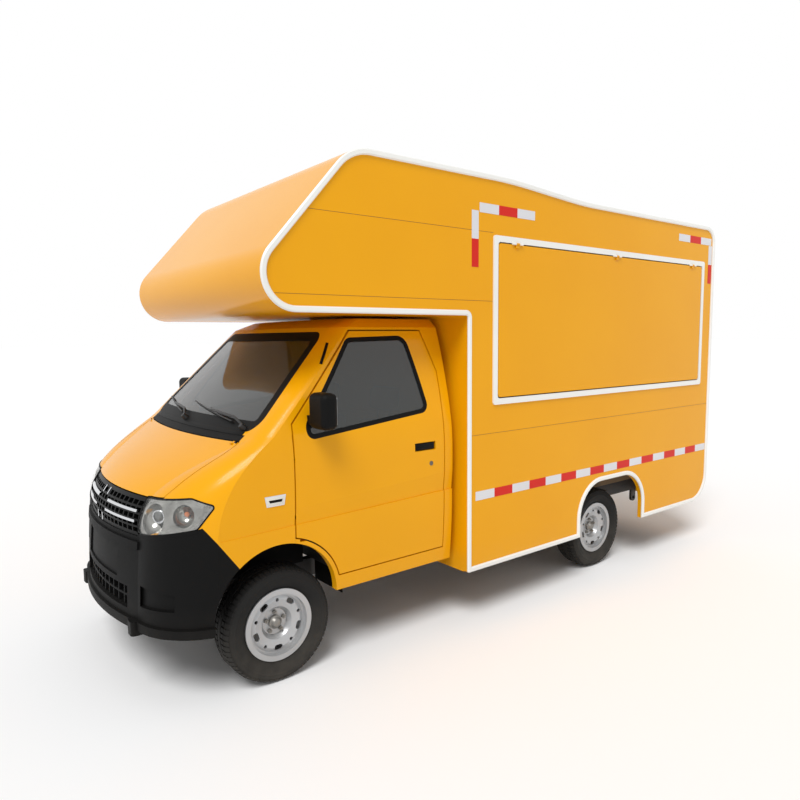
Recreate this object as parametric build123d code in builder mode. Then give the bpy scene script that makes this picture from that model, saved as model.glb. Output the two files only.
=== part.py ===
from build123d import *
from collections import namedtuple
from functools import cache
from math import atan, cos, radians, sin, sqrt, tan
import os

# Food truck: a short bonneted cab in front of a tall box body whose roof runs forward over the cab.
# Millimetres, +X forward, +Y left, +Z up, origin on the ground under the middle of the truck.
os.makedirs("parts", exist_ok=True)

# Driving sizes of the whole truck
overall_length = 4650
rear_reach = 30
box_length = 2800
box_width = 1720
wheelbase = 2600
track = 1300
front_axle_ahead = 1150
running_gap = 0.3
shut_gap = 7

# Places along the truck that follow from them
box_rear_x = rear_reach - overall_length / 2
wall_x = box_rear_x + box_length
front_axle_x = wall_x + front_axle_ahead
rear_axle_x = front_axle_x - wheelbase
box_half = box_width / 2
wheel_y = track / 2

# Wheels
tyre_radius = 287.5
tyre_width = 176
rim_radius = 165
flange_radius = 181
rim_width = 140
spindle_radius = 14
axle_z = tyre_radius

# Box body
box_bottom = 321
overhang_z = 1815
roof_front_z = 2610
roof_rear_z = 2560
panel = 30
nose_corner_ahead = 1482
roof_corner_ahead = 780
roof_step_front = 350
roof_step_rear = 1050
nose_radius = 175
brow_radius = 260
roof_step_radius = 4000
rear_top_radius = 130
rear_bottom_radius = 220
front_corner_radius = 12
floor_z = 690
floor_thick = 40
trim_width = 30
trim_proud = 12

# Serving hatches in both sides
hatch_front = 205
hatch_rear = 2640
hatch_low = 1295
hatch_high = 2277
hatch_frame_width = 36
hatch_flange = 20
hatch_corner = 18
frame_proud = 9
hinge_radius = 6
hinge_knuckle = 30

# Rear wheel arches in the box sides
arch_front = 1070
arch_rear = 1830
arch_top = 682
arch_radius = 240

# Rear door
rear_door_width = 800
rear_door_low = 745
rear_door_high = 2400

# Cab
cab_back = 50
cab_belt = 1235
skin_low = 45
skin_high = 30
sill_low = 400
cab_arch_ahead = 1170
cab_arch_z = 385
cab_arch_radius = 330
arch_flange = 28

# Frame under the body
rail_y = 370
rail_width = 50
rail_low = 360
rail_high = 460
rail_front = 1640


def ahead(distance):
    """x of a place given as its distance in front of the box's front wall."""
    return wall_x + distance


def save(part, name):
    part.label = name
    export_step(part, f"parts/{name}.step")


# Box body: one side outline gives every panel
def box_outline(inset=0):
    with BuildSketch(Plane.XZ) as outline:
        with BuildLine():
            corners = [
                (wall_x, overhang_z),
                (ahead(nose_corner_ahead), overhang_z),
                (ahead(roof_corner_ahead), roof_front_z),
                (ahead(-roof_step_front), roof_front_z),
                (ahead(-roof_step_rear), roof_rear_z),
                (box_rear_x, roof_rear_z),
                (box_rear_x, box_bottom),
                (wall_x, box_bottom),
            ]
            FilletPolyline(
                *corners,
                radius=[
                    front_corner_radius,
                    nose_radius,
                    brow_radius,
                    roof_step_radius,
                    roof_step_radius,
                    rear_top_radius,
                    rear_bottom_radius,
                    front_corner_radius,
                ],
                close=True,
            )
        make_face()
        if inset:
            offset(amount=-inset, kind=Kind.INTERSECTION, mode=Mode.REPLACE)
    return outline.sketch


def arch_sketch(grow=0):
    """Rear wheel arch: straight legs, flat top, round shoulders."""
    with BuildSketch(Plane.XZ) as arch:
        with BuildLine():
            FilletPolyline(
                (ahead(-arch_front) + grow, 0),
                (ahead(-arch_front) + grow, arch_top + grow),
                (ahead(-arch_rear) - grow, arch_top + grow),
                (ahead(-arch_rear) - grow, 0),
                radius=arch_radius + grow,
            )
            Line((ahead(-arch_rear) - grow, 0), (ahead(-arch_front) + grow, 0))
        make_face()
    return arch.sketch


def hatch_sketch(inset):
    """Rounded rectangle of the hatch frame, drawn in by an inset."""
    length = hatch_rear - hatch_front - 2 * inset
    height = hatch_high - hatch_low - 2 * inset
    with BuildSketch(Plane.XZ) as rectangle:
        with Locations((ahead(-(hatch_front + hatch_rear) / 2), (hatch_low + hatch_high) / 2)):
            RectangleRounded(length, height, hatch_corner)
    return rectangle.sketch


def to_left(sketch, start, thickness):
    """Prism of a side sketch on the left of the truck, from y = start outwards."""
    return extrude(sketch.moved(Location((0, start, 0))), amount=-thickness, mode=Mode.PRIVATE)


outline = box_outline()
inner_outline = box_outline(panel)

with BuildPart() as box_side_left:
    add(to_left(outline, box_half - panel, panel))
    add(to_left(arch_sketch(), box_half - panel, panel), mode=Mode.SUBTRACT)
    add(to_left(hatch_sketch(hatch_flange), box_half - panel, panel), mode=Mode.SUBTRACT)
save(box_side_left.part, "box_side_left")

with BuildPart() as box_side_right:
    mirror(box_side_left.part, about=Plane.XZ)
save(box_side_right.part, "box_side_right")

# The skin between the sides, cut where its panels meet
inside_half = box_half - panel
seam_inside = 2
nose_half_angle = atan((roof_front_z - overhang_z) / (nose_corner_ahead - roof_corner_ahead)) / 2
nose_seam = roof_corner_ahead - brow_radius * tan(nose_half_angle) + seam_inside
floor_seam = nose_corner_ahead - nose_radius / tan(nose_half_angle) - seam_inside
rear_seam = box_rear_x + rear_bottom_radius

with BuildPart() as box_skin:
    extrude(outline, amount=inside_half, both=True)
    extrude(inner_outline, amount=inside_half, both=True, mode=Mode.SUBTRACT)

with BuildPart() as box_nose:
    add(box_skin.part)
    with BuildSketch(Plane.XZ):
        with BuildLine():
            Polyline(
                (ahead(nose_seam), roof_front_z + panel),
                (ahead(nose_corner_ahead), roof_front_z + panel),
                (ahead(nose_corner_ahead), overhang_z - panel),
                (ahead(floor_seam), overhang_z - panel),
                (ahead(floor_seam), overhang_z + 2 * panel),
                (ahead(nose_seam), roof_front_z - 4 * panel),
                close=True,
            )
        make_face()
    extrude(amount=inside_half, both=True, mode=Mode.INTERSECT)
save(box_nose.part, "box_nose")

with BuildPart() as box_roof:
    add(box_skin.part)
    with Locations(((ahead(nose_seam) + rear_seam) / 2, 0, roof_front_z)):
        Box(ahead(nose_seam) - rear_seam, box_width, 8 * panel, mode=Mode.INTERSECT)
save(box_roof.part, "box_roof")

with BuildPart() as overhang_floor:
    add(box_skin.part)
    with Locations(((ahead(floor_seam) + wall_x) / 2, 0, overhang_z)):
        Box(ahead(floor_seam) - wall_x, box_width, 4 * panel, mode=Mode.INTERSECT)
save(overhang_floor.part, "overhang_floor")

with BuildPart() as box_front_wall:
    wall_height = overhang_z + panel - box_bottom
    with Locations((wall_x - panel / 2, 0, box_bottom + wall_height / 2)):
        Box(panel, 2 * inside_half, wall_height)
    with Locations((wall_x, 0, rail_high / 2)):
        Box(4 * panel, 2 * rail_y + 2 * rail_width, rail_high, mode=Mode.SUBTRACT)
save(box_front_wall.part, "box_front_wall")

rear_door_z = (rear_door_low + rear_door_high) / 2
rear_door_height = rear_door_high - rear_door_low

with BuildPart() as box_rear_wall:
    add(box_skin.part)
    with Locations((rear_seam - rear_bottom_radius / 2, 0, (box_bottom + roof_rear_z) / 2)):
        Box(rear_bottom_radius, box_width, roof_rear_z - box_bottom, mode=Mode.INTERSECT)
    with Locations((box_rear_x, 0, rear_door_z)):
        Box(4 * panel, rear_door_width + 2 * shut_gap, rear_door_height + 2 * shut_gap, mode=Mode.SUBTRACT)
save(box_rear_wall.part, "box_rear_wall")

with BuildPart() as box_floor:
    floor_length = box_length - 2 * panel
    with Locations(((wall_x + box_rear_x) / 2, 0, floor_z + floor_thick / 2)):
        Box(floor_length, 2 * inside_half, floor_thick)
    bearer_height = floor_z - rail_high
    bearer_length = wall_x - panel - rear_seam
    with Locations((rear_seam + bearer_length / 2, 0, rail_high + bearer_height / 2)):
        with GridLocations(0, 2 * rail_y, 1, 2):
            Box(bearer_length, rail_width, bearer_height)
save(box_floor.part, "box_floor")

# White edge strips round both sides
trim_inner = box_outline(trim_width)
with BuildPart() as edge_trims:
    add(to_left(outline, box_half, trim_proud))
    add(to_left(trim_inner, box_half, trim_proud), mode=Mode.SUBTRACT)
    add(to_left(arch_sketch(trim_width), box_half, trim_proud))
    add(to_left(arch_sketch(), box_half, trim_proud), mode=Mode.SUBTRACT)
    with Locations((0, box_half, box_bottom / 2)):
        Box(overall_length, 4 * trim_proud, box_bottom, mode=Mode.SUBTRACT)
    chamfer(edge_trims.faces().sort_by(Axis.Y)[-1].edges(), trim_proud / 2)
    mirror(about=Plane.XZ)
save(edge_trims.part, "edge_trims")

# Hatch frames, each a flange on the panel with a sleeve through it and the fixed hinge knuckles
hinge_y = box_half + frame_proud + hinge_radius
hinge_z = hatch_high - hatch_frame_width - shut_gap / 2
hatch_length = hatch_rear - hatch_front
hinge_places = [ahead(-hatch_front - hatch_length * share) for share in (0.08, 0.5, 0.92)]


def along_x(x, y, z):
    return Plane(origin=(x, y, z), x_dir=(0, 1, 0), z_dir=(1, 0, 0))


with BuildPart() as hatch_frames:
    add(to_left(hatch_sketch(0), box_half, frame_proud))
    add(to_left(hatch_sketch(hatch_flange), box_half - panel, panel))
    add(to_left(hatch_sketch(hatch_frame_width), box_half - panel, panel + frame_proud), mode=Mode.SUBTRACT)
    for x in hinge_places:
        for side in (-1, 1):
            middle = x + side * (hinge_knuckle + running_gap)
            with BuildSketch(along_x(middle - hinge_knuckle / 2, hinge_y, hinge_z)):
                Circle(hinge_radius)
                with Locations((-hinge_radius / 2, hinge_radius)):
                    Rectangle(hinge_radius, 2 * hinge_radius)
            extrude(amount=hinge_knuckle)
    mirror(about=Plane.XZ)
save(hatch_frames.part, "hatch_frames")

with BuildPart() as hatch_left:
    add(to_left(hatch_sketch(hatch_frame_width + shut_gap), box_half - panel + shut_gap, panel))
    for x in hinge_places:
        with BuildSketch(along_x(x - hinge_knuckle / 2, hinge_y, hinge_z)):
            Circle(hinge_radius)
            leaf_depth = hinge_y - box_half - shut_gap
            with Locations((-leaf_depth / 2, -2 * hinge_radius)):
                Rectangle(leaf_depth, 4 * hinge_radius)
        extrude(amount=hinge_knuckle)
save(hatch_left.part, "hatch_left")

with BuildPart() as hatch_right:
    mirror(hatch_left.part, about=Plane.XZ)
save(hatch_right.part, "hatch_right")

# Rear door on knuckles outside the rear wall, hinged on the left
door_hinge_x = box_rear_x - hinge_radius
door_hinge_y = rear_door_width / 2 + shut_gap / 2
door_hinge_heights = [rear_door_low + rear_door_height * share for share in (0.12, 0.5, 0.88)]

with BuildPart() as rear_door:
    with Locations((box_rear_x + panel / 2, 0, rear_door_z)):
        Box(panel, rear_door_width, rear_door_height)
    fillet(rear_door.edges().filter_by(Axis.X), hatch_corner)
    for z in door_hinge_heights:
        with BuildSketch(Plane.XY.offset(z - hinge_knuckle / 2)):
            with Locations((door_hinge_x, door_hinge_y)):
                Circle(hinge_radius)
                with Locations((hinge_radius / 2, -2 * hinge_radius)):
                    Rectangle(hinge_radius, 4 * hinge_radius)
        extrude(amount=hinge_knuckle)
save(rear_door.part, "rear_door")

with BuildPart() as rear_door_hinges:
    for z in door_hinge_heights:
        for side in (-1, 1):
            middle = z + side * (hinge_knuckle + running_gap)
            with BuildSketch(Plane.XY.offset(middle - hinge_knuckle / 2)):
                with Locations((door_hinge_x, door_hinge_y)):
                    Circle(hinge_radius)
                    with Locations((hinge_radius / 2, 2 * hinge_radius)):
                        Rectangle(hinge_radius, 4 * hinge_radius)
            extrude(amount=hinge_knuckle)
save(rear_door_hinges.part, "rear_door_hinges")

# Tail lamps and the bar across the back
lamp_width = 90
lamp_height = 240
lamp_z = 640
lamp_from_side = 108
with BuildPart() as tail_lamps:
    with Locations((box_rear_x - rear_reach / 3, 0, lamp_z)):
        with GridLocations(0, box_width - 2 * lamp_from_side, 1, 2):
            Box(rear_reach * 2 / 3, lamp_width, lamp_height)
    fillet(tail_lamps.faces().filter_by(Plane.YZ).group_by(Axis.X)[0].edges(), rear_reach / 4)
save(tail_lamps.part, "tail_lamps")

bumper_bar_z = 590
bumper_bar_height = 90
with BuildPart() as rear_bumper:
    with Locations((box_rear_x - rear_reach / 2, 0, bumper_bar_z)):
        Box(rear_reach, box_width - 2 * rear_bottom_radius, bumper_bar_height)
    fillet(rear_bumper.faces().sort_by(Axis.X)[0].edges(), rear_reach / 3)
save(rear_bumper.part, "rear_bumper")

# Cab: plan sections at rising heights
# columns: height, front corner ahead of the wall, its half width, bow of the front,
# where the side starts ahead of the wall, half width of the side, bow of the corner
Section = namedtuple("Section", "z corner_x corner_y bow side_x side_y corner_bow")
low_sections = [
    Section(300, 1745, 450, 60, 1500, 750, 62),
    Section(560, 1738, 450, 60, 1485, 778, 64),
    Section(800, 1716, 440, 60, 1478, 786, 66),
]
bonnet_sections = [
    Section(800, 1716, 440, 60, 1478, 786, 66),
    Section(950, 1668, 445, 56, 1440, 790, 66),
    Section(1090, 1490, 530, 56, 1350, 790, 48),
    Section(1235, 1250, 695, 66, 1180, 778, 14),
]
glass_sections = [
    Section(1235, 1250, 695, 66, 1180, 778, 14),
    Section(1490, 1000, 634, 62, 930, 724, 16),
    Section(1752, 740, 568, 56, 672, 646, 18),
]
roof_sections = [
    Section(1752, 740, 568, 56, 672, 646, 18),
    Section(1800, 620, 520, 50, 560, 590, 18),
]


def bulge(start, end, bow):
    """Point beside the middle of a chord, outside a loop that runs anticlockwise."""
    dx, dy = end[0] - start[0], end[1] - start[1]
    length = sqrt(dx * dx + dy * dy)
    return ((start[0] + end[0]) / 2 + dy / length * bow, (start[1] + end[1]) / 2 - dx / length * bow)


def cab_loft(sections, inset=0, down=0):
    """Solid through the plan sections, drawn in and lowered for the inside of a skin."""
    with BuildPart() as solid:
        for row in sections:
            corner_x = ahead(row.corner_x) - 0.9 * inset
            corner_y = row.corner_y - 0.4 * inset
            side_x = ahead(row.side_x) - 0.4 * inset
            side_y = row.side_y - inset
            back_x = ahead(cab_back) + inset
            with BuildSketch(Plane.XY.offset(row.z - down)):
                with BuildLine():
                    Line((back_x, -side_y), (side_x, -side_y))
                    right = ((side_x, -side_y), (corner_x, -corner_y))
                    ThreePointArc(right[0], bulge(*right, row.corner_bow), right[1])
                    nose = ((corner_x, -corner_y), (corner_x, corner_y))
                    ThreePointArc(nose[0], bulge(*nose, row.bow), nose[1])
                    left = ((corner_x, corner_y), (side_x, side_y))
                    ThreePointArc(left[0], bulge(*left, row.corner_bow), left[1])
                    Line((side_x, side_y), (back_x, side_y))
                    Line((back_x, side_y), (back_x, -side_y))
                make_face()
        loft()
    return solid.part


@cache
def cab_body(low_inset=0, high_inset=0, down=0):
    with BuildPart() as body:
        add(cab_loft(low_sections, low_inset, down))
        add(cab_loft(bonnet_sections, low_inset, down))
        add(cab_loft(glass_sections, high_inset, down))
        add(cab_loft(roof_sections, high_inset, down))
    return body.part


def skin_band(start, end):
    """Part of the cab between two depths under its outer face."""
    with BuildPart() as band:
        add(cab_body(start, start))
        add(cab_body(end, end), mode=Mode.SUBTRACT)
    return band.part


def low_band(start, end):
    """The same, only from the bottom of the bumper up to the lamps."""
    with BuildPart() as band:
        add(cab_loft(low_sections, start))
        add(cab_loft(low_sections, end), mode=Mode.SUBTRACT)
    return band.part


cab_outer = cab_body()
cab_inner = cab_body(skin_low, skin_high, skin_high)

# Crease along each side: a step that is deepest at the back and fades out over the front wheel
# columns: distance ahead of the wall, lower edge, upper edge, depth at the lower edge
crease_rows = [(cab_back - 20, 820, 930, 8), (1465, 785, 850, 2)]
side_half = bonnet_sections[1].side_y
side_lean = (side_half - bonnet_sections[0].side_y) / (bonnet_sections[1].z - bonnet_sections[0].z)


def side_at(z):
    return side_half + side_lean * (z - bonnet_sections[1].z)


with BuildPart() as side_creases:
    for reach, low, high, depth in crease_rows:
        with BuildSketch(Plane.YZ.offset(ahead(reach))):
            with BuildLine():
                Polyline(
                    (box_half, low),
                    (side_at(low) - depth, low),
                    (side_at(high), high),
                    (box_half, high),
                    close=True,
                )
            make_face()
    loft()
    mirror(about=Plane.XZ)

with BuildPart() as front_arch:
    with BuildSketch(Plane.XZ):
        with Locations((ahead(cab_arch_ahead), cab_arch_z)):
            Circle(cab_arch_radius)
    extrude(amount=box_half, both=True)

with BuildPart() as cab_skin:
    add(cab_outer)
    add(cab_inner, mode=Mode.SUBTRACT)
    add(side_creases.part, mode=Mode.SUBTRACT)
    add(front_arch.part, mode=Mode.SUBTRACT)
    with Locations((ahead(cab_arch_ahead) / 2, 0, sill_low / 2)):
        Box(ahead(cab_arch_ahead), box_width, sill_low, mode=Mode.SUBTRACT)

# Door: outline in side view, measured ahead of the wall
door_front = 1078
door_rear = 115
door_low = 485
door_top = 1732
door_shoulder_z = 1500
door_shoulder_lean = 70
pillar_foot_z = 1282
pillar_head = 662
door_hinge_back = 40
door_hinge_in = 20
door_edge_radius = 48
door_edge_high = 1310
hinge_axis_x = ahead(door_front) - door_hinge_back
hinge_axis_y = side_half - door_hinge_in


def door_sketch(grow):
    """Door outline; its lower front edge runs round the wheel arch."""
    around = cab_arch_radius + arch_flange - grow
    low = door_low - grow
    front = door_front + grow
    arch_high = cab_arch_z + sqrt(around**2 - (front - cab_arch_ahead) ** 2)
    arch_low = cab_arch_ahead - sqrt(around**2 - (low - cab_arch_z) ** 2)
    lean = radians(150)
    middle = (cab_arch_ahead + around * cos(lean), cab_arch_z + around * sin(lean))
    with BuildSketch(Plane.XZ) as sketch:
        with BuildLine():
            ThreePointArc(
                (ahead(front), arch_high), (ahead(middle[0]), middle[1]), (ahead(arch_low), low)
            )
            Polyline(
                (ahead(arch_low), low),
                (ahead(door_rear - grow), low),
                (ahead(door_rear - grow), door_shoulder_z),
                (ahead(door_rear + door_shoulder_lean - grow), door_top + grow),
                (ahead(pillar_head + grow), door_top + grow),
                (ahead(front), pillar_foot_z + grow),
                (ahead(front), arch_high),
            )
        make_face()
    return sketch.sketch


# Door window; columns: distance ahead of the wall, height, corner radius
window_corners = [
    (992, 1200, 45),
    (1012, 1272, 70),
    (692, 1698, 60),
    (298, 1708, 70),
    (208, 1282, 50),
]


def window_sketch(inset=0):
    with BuildSketch(Plane.XZ) as sketch:
        with BuildLine():
            points = [(ahead(x), z) for x, z, radius in window_corners]
            FilletPolyline(*points, radius=[row[2] for row in window_corners], close=True)
        make_face()
        if inset:
            offset(amount=-inset, mode=Mode.REPLACE)
    return sketch.sketch


def left_prism(sketch):
    """Prism of a side sketch through the left half of the cab's skin."""
    return to_left(sketch, box_half / 2, box_half / 2)


hinge_heights = (830, 1120)
hinge_plate = 10
hinge_eye = 11
pin_radius = 7
pin_length = 70
hinge_play = 2
handle_ahead = 255
handle_z = 1090
handle_length = 150
handle_height = 46
handle_depth = 16

with BuildPart() as door_left:
    add(cab_skin.part)
    add(left_prism(door_sketch(0)), mode=Mode.INTERSECT)
    add(left_prism(window_sketch()), mode=Mode.SUBTRACT)
    # The front edge is rounded about the hinge so that it swings in behind the fender
    with BuildSketch(Plane.XY):
        with Locations((hinge_axis_x + box_half / 2, hinge_axis_y)):
            Rectangle(box_half, box_half)
        with Locations((hinge_axis_x, hinge_axis_y)):
            Circle(door_edge_radius, mode=Mode.SUBTRACT)
    extrude(amount=door_edge_high, mode=Mode.SUBTRACT)
    with Locations((ahead(handle_ahead), side_half, handle_z)):
        Box(handle_length, 2 * handle_depth, handle_height, mode=Mode.SUBTRACT)
    for z in hinge_heights:
        with BuildSketch(Plane.XY.offset(z - hinge_plate / 2 - shut_gap / 2)):
            with Locations((hinge_axis_x, hinge_axis_y)):
                Circle(door_edge_radius + shut_gap)
            with Locations((hinge_axis_x, hinge_axis_y + door_edge_radius + hinge_eye + hinge_play)):
                Rectangle(4 * door_edge_radius, 2 * door_edge_radius, mode=Mode.SUBTRACT)
        extrude(amount=hinge_plate + shut_gap, mode=Mode.SUBTRACT)
        with Locations((hinge_axis_x, hinge_axis_y, z)):
            Cylinder(pin_radius + running_gap, pin_length + hinge_play, mode=Mode.SUBTRACT)
save(door_left.part, "door_left")

with BuildPart() as door_right:
    mirror(door_left.part, about=Plane.XZ)
save(door_right.part, "door_right")

# Glass sits just under the outer face, held by a black seal that fills the edge of the opening
glass_in = 3
glass_thick = 5
seal_width = 24
seal_depth = 12
glass_band = skin_band(glass_in, glass_in + glass_thick)
seal_band = skin_band(0, seal_depth)

with BuildPart() as door_glass_left:
    add(glass_band)
    add(left_prism(window_sketch(seal_width)), mode=Mode.INTERSECT)
save(door_glass_left.part, "door_glass_left")

with BuildPart() as door_glass_right:
    mirror(door_glass_left.part, about=Plane.XZ)
save(door_glass_right.part, "door_glass_right")

with BuildPart() as door_seal_left:
    add(seal_band)
    add(left_prism(window_sketch()), mode=Mode.INTERSECT)
    add(left_prism(window_sketch(seal_width)), mode=Mode.SUBTRACT)
save(door_seal_left.part, "door_seal_left")

with BuildPart() as door_seal_right:
    mirror(door_seal_left.part, about=Plane.XZ)
save(door_seal_right.part, "door_seal_right")

screen_low = 1250
screen_high = 1730
screen_low_half = 688
screen_high_half = 568
screen_low_radius = 60
screen_high_radius = 80
screen_border = 46
screen_start = 600


def screen_prism(inset=0):
    """Windscreen outline seen from ahead, run through the front of the cab."""
    with BuildSketch(Plane.YZ.offset(ahead(screen_start))) as sketch:
        with BuildLine():
            FilletPolyline(
                (-screen_low_half, screen_low),
                (screen_low_half, screen_low),
                (screen_high_half, screen_high),
                (-screen_high_half, screen_high),
                radius=[screen_low_radius, screen_low_radius, screen_high_radius, screen_high_radius],
                close=True,
            )
        make_face()
        if inset:
            offset(amount=-inset, mode=Mode.REPLACE)
    return extrude(sketch.sketch, amount=overall_length / 4, mode=Mode.PRIVATE)


screen_opening = screen_prism()
screen_sight = screen_prism(screen_border)

with BuildPart() as windscreen:
    add(glass_band)
    add(screen_sight, mode=Mode.INTERSECT)
save(windscreen.part, "windscreen")

with BuildPart() as windscreen_seal:
    add(seal_band)
    add(screen_opening, mode=Mode.INTERSECT)
    add(screen_sight, mode=Mode.SUBTRACT)
save(windscreen_seal.part, "windscreen_seal")

# Bonnet and the cowl behind it: plan outlines, measured ahead of the wall
bonnet_back_side = 1296
bonnet_back_middle = 1360
bonnet_shoulder = 1590
bonnet_front = 1800
bonnet_back_half = 634
bonnet_shoulder_half = 575
bonnet_front_half = 470
bonnet_low = 962
bonnet_thick = 25
# The sides run straight at the back, so the corners pass the fenders as the bonnet lifts
bonnet_straight = 80


def bonnet_sketch(grow):
    back = (ahead(bonnet_back_side - grow), bonnet_back_half + grow)
    straight = (ahead(bonnet_back_side + bonnet_straight), bonnet_back_half + grow)
    shoulder = (ahead(bonnet_shoulder), bonnet_shoulder_half + grow)
    front = (ahead(bonnet_front), bonnet_front_half + grow)
    with BuildSketch(Plane.XY.offset(bonnet_low - grow)) as sketch:
        with BuildLine():
            ThreePointArc(back, (ahead(bonnet_back_middle - grow), 0), (back[0], -back[1]))
            Polyline(
                back,
                straight,
                shoulder,
                front,
                (front[0], -front[1]),
                (shoulder[0], -shoulder[1]),
                (straight[0], -straight[1]),
                (back[0], -back[1]),
            )
        make_face()
    return sketch.sketch


def cowl_sketch():
    back = ahead(bonnet_back_side - shut_gap)
    with BuildSketch(Plane.XY.offset(bonnet_low)) as sketch:
        with BuildLine():
            ThreePointArc(
                (back, bonnet_back_half),
                (ahead(bonnet_back_middle - shut_gap), 0),
                (back, -bonnet_back_half),
            )
            Polyline(
                (back, bonnet_back_half),
                (back - bonnet_back_half / 4, bonnet_back_half),
                (back - bonnet_back_half / 4, -bonnet_back_half),
                (back, -bonnet_back_half),
            )
        make_face()
    return sketch.sketch


with BuildPart() as below_belt:
    with Locations((ahead(cab_arch_ahead), 0, cab_belt / 2)):
        Box(overall_length, box_width, cab_belt)

# Bonnet hinges: knuckles of the cowl on either side of one of the bonnet
bonnet_hinge_ahead = 1300
bonnet_hinge_y = 600
bonnet_hinge_z = 1202
bonnet_knuckle = 20
bonnet_leaf = 22
bonnet_leaf_thick = 4
hinge_room = 0.5


def bonnet_hinge_room():
    with BuildPart() as room:
        with BuildSketch(Plane.XZ):
            with Locations((ahead(bonnet_hinge_ahead), bonnet_hinge_z)):
                Circle(hinge_radius + hinge_room)
        extrude(amount=1.5 * bonnet_knuckle + 2 * hinge_room, both=True)
    return [room.part.moved(Location((0, side * bonnet_hinge_y, 0))) for side in (-1, 1)]


def bonnet_hinge_knuckle(offset_y, direction):
    """Round knuckle with a leaf that runs back to the cowl (-1) or forward to the bonnet (+1)."""
    with BuildPart() as knuckle:
        with BuildSketch(Plane.XZ):
            with Locations((ahead(bonnet_hinge_ahead), bonnet_hinge_z)):
                Circle(hinge_radius)
                with Locations((direction * bonnet_leaf / 2, -hinge_radius / 2)):
                    Rectangle(bonnet_leaf, bonnet_leaf_thick)
        extrude(amount=bonnet_knuckle / 2 - running_gap / 2, both=True)
    return [knuckle.part.moved(Location((0, side * bonnet_hinge_y + offset_y, 0))) for side in (-1, 1)]


with BuildPart() as cowl:
    add(cab_skin.part)
    add(below_belt.part, mode=Mode.INTERSECT)
    extrude(cowl_sketch(), amount=cab_belt, mode=Mode.INTERSECT)
    add(bonnet_hinge_room(), mode=Mode.SUBTRACT)
    for offset_y in (-bonnet_knuckle, bonnet_knuckle):
        add(bonnet_hinge_knuckle(offset_y, -1))
save(cowl.part, "cowl")

# Lamps: outline seen square on, half way between front and side
lamp_start = 1600
lamp_plane = Plane(
    origin=(lamp_start / sqrt(2), lamp_start / sqrt(2), 0), x_dir=(-1, 1, 0), z_dir=(1, 1, 0)
)
# columns: distance ahead of the wall, half width, height, corner radius
lamp_corners = [
    (1680, 440, 958, 10),
    (1550, 690, 985, 60),
    (1475, 772, 952, 12),
    (1525, 715, 850, 40),
    (1735, 440, 790, 14),
]
lens_thick = 6
lamp_depth = 75
# Reflector bowls; columns: centre ahead of the wall, half width, height, radius
lamp_bowls = [(1690, 545, 880, 76), (1585, 680, 905, 52)]


def lamp_prism(grow=0):
    with BuildSketch(lamp_plane) as sketch:
        with BuildLine():
            points = [((y - ahead(x)) / sqrt(2), z) for x, y, z, radius in lamp_corners]
            FilletPolyline(*points, radius=[row[3] for row in lamp_corners], close=True)
        make_face()
        if grow:
            offset(amount=grow)
    return extrude(sketch.sketch, amount=lamp_start, mode=Mode.PRIVATE)


lamp_opening = lamp_prism()

with BuildPart() as headlamp_lenses:
    add(skin_band(0, lens_thick))
    add(lamp_opening, mode=Mode.INTERSECT)
    mirror(about=Plane.XZ)
save(headlamp_lenses.part, "headlamp_lenses")

with BuildPart() as headlamps:
    add(skin_band(lens_thick, lamp_depth))
    add(lamp_opening, mode=Mode.INTERSECT)
    for x, y, z, radius in lamp_bowls:
        with Locations((ahead(x), y, z)):
            Sphere(radius, mode=Mode.SUBTRACT)
    mirror(about=Plane.XZ)
save(headlamps.part, "headlamps")

with BuildPart() as bonnet_lamps:
    add(lamp_prism(shut_gap))
    mirror(about=Plane.XZ)

with BuildPart() as bonnet:
    add(cab_outer)
    add(cab_body(bonnet_thick, bonnet_thick, bonnet_thick / 2), mode=Mode.SUBTRACT)
    extrude(bonnet_sketch(0), amount=cab_belt, mode=Mode.INTERSECT)
    add(below_belt.part, mode=Mode.INTERSECT)
    add(bonnet_lamps.part, mode=Mode.SUBTRACT)
    add(bonnet_hinge_room(), mode=Mode.SUBTRACT)
    add(bonnet_hinge_knuckle(0, 1))
save(bonnet.part, "bonnet")

# Bumper: side outline, measured ahead of the wall
bumper_tip = (1382, 650)
bumper_lamp = (1535, 858)
bumper_lamp_end = 1735
bumper_back = 1292
bumper_back_z = 530
bumper_top = 782
bumper_low = 345
nose_front = 1900
nose_middle = 1700
nose_depth = 400
grille_half = 445

with BuildPart() as bumper_region:
    with BuildSketch(Plane.XZ):
        with BuildLine():
            Polyline(
                (ahead(bumper_back), bumper_low),
                (ahead(bumper_back), bumper_back_z),
                (ahead(bumper_tip[0]), bumper_tip[1]),
                (ahead(bumper_lamp[0]), bumper_lamp[1]),
                (ahead(bumper_lamp_end), bumper_top),
                (ahead(nose_front), bumper_top),
                (ahead(nose_front), bumper_low),
                close=True,
            )
        make_face()
    extrude(amount=box_half, both=True)

with BuildPart() as both_lamps:
    add(lamp_opening)
    mirror(about=Plane.XZ)


def across_nose(low, high, half):
    """Block across the front of the truck, between two heights."""
    with BuildPart() as block:
        with Locations((ahead(nose_middle), 0, (low + high) / 2)):
            Box(nose_depth, 2 * half, high - low)
    return block.part


def mesh_cells(low, high, half, columns, rows, bar):
    """All the openings between the bars of a mesh in the front of the truck."""
    pitch_y = 2 * half / columns
    pitch_z = (high - low) / rows
    with BuildPart() as cells:
        with BuildSketch(Plane.YZ.offset(ahead(nose_middle - nose_depth / 2))):
            with Locations((0, (low + high) / 2)):
                with GridLocations(pitch_y, pitch_z, columns, rows):
                    Rectangle(pitch_y - bar, pitch_z - bar)
        extrude(amount=nose_depth)
    return cells.part


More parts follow.
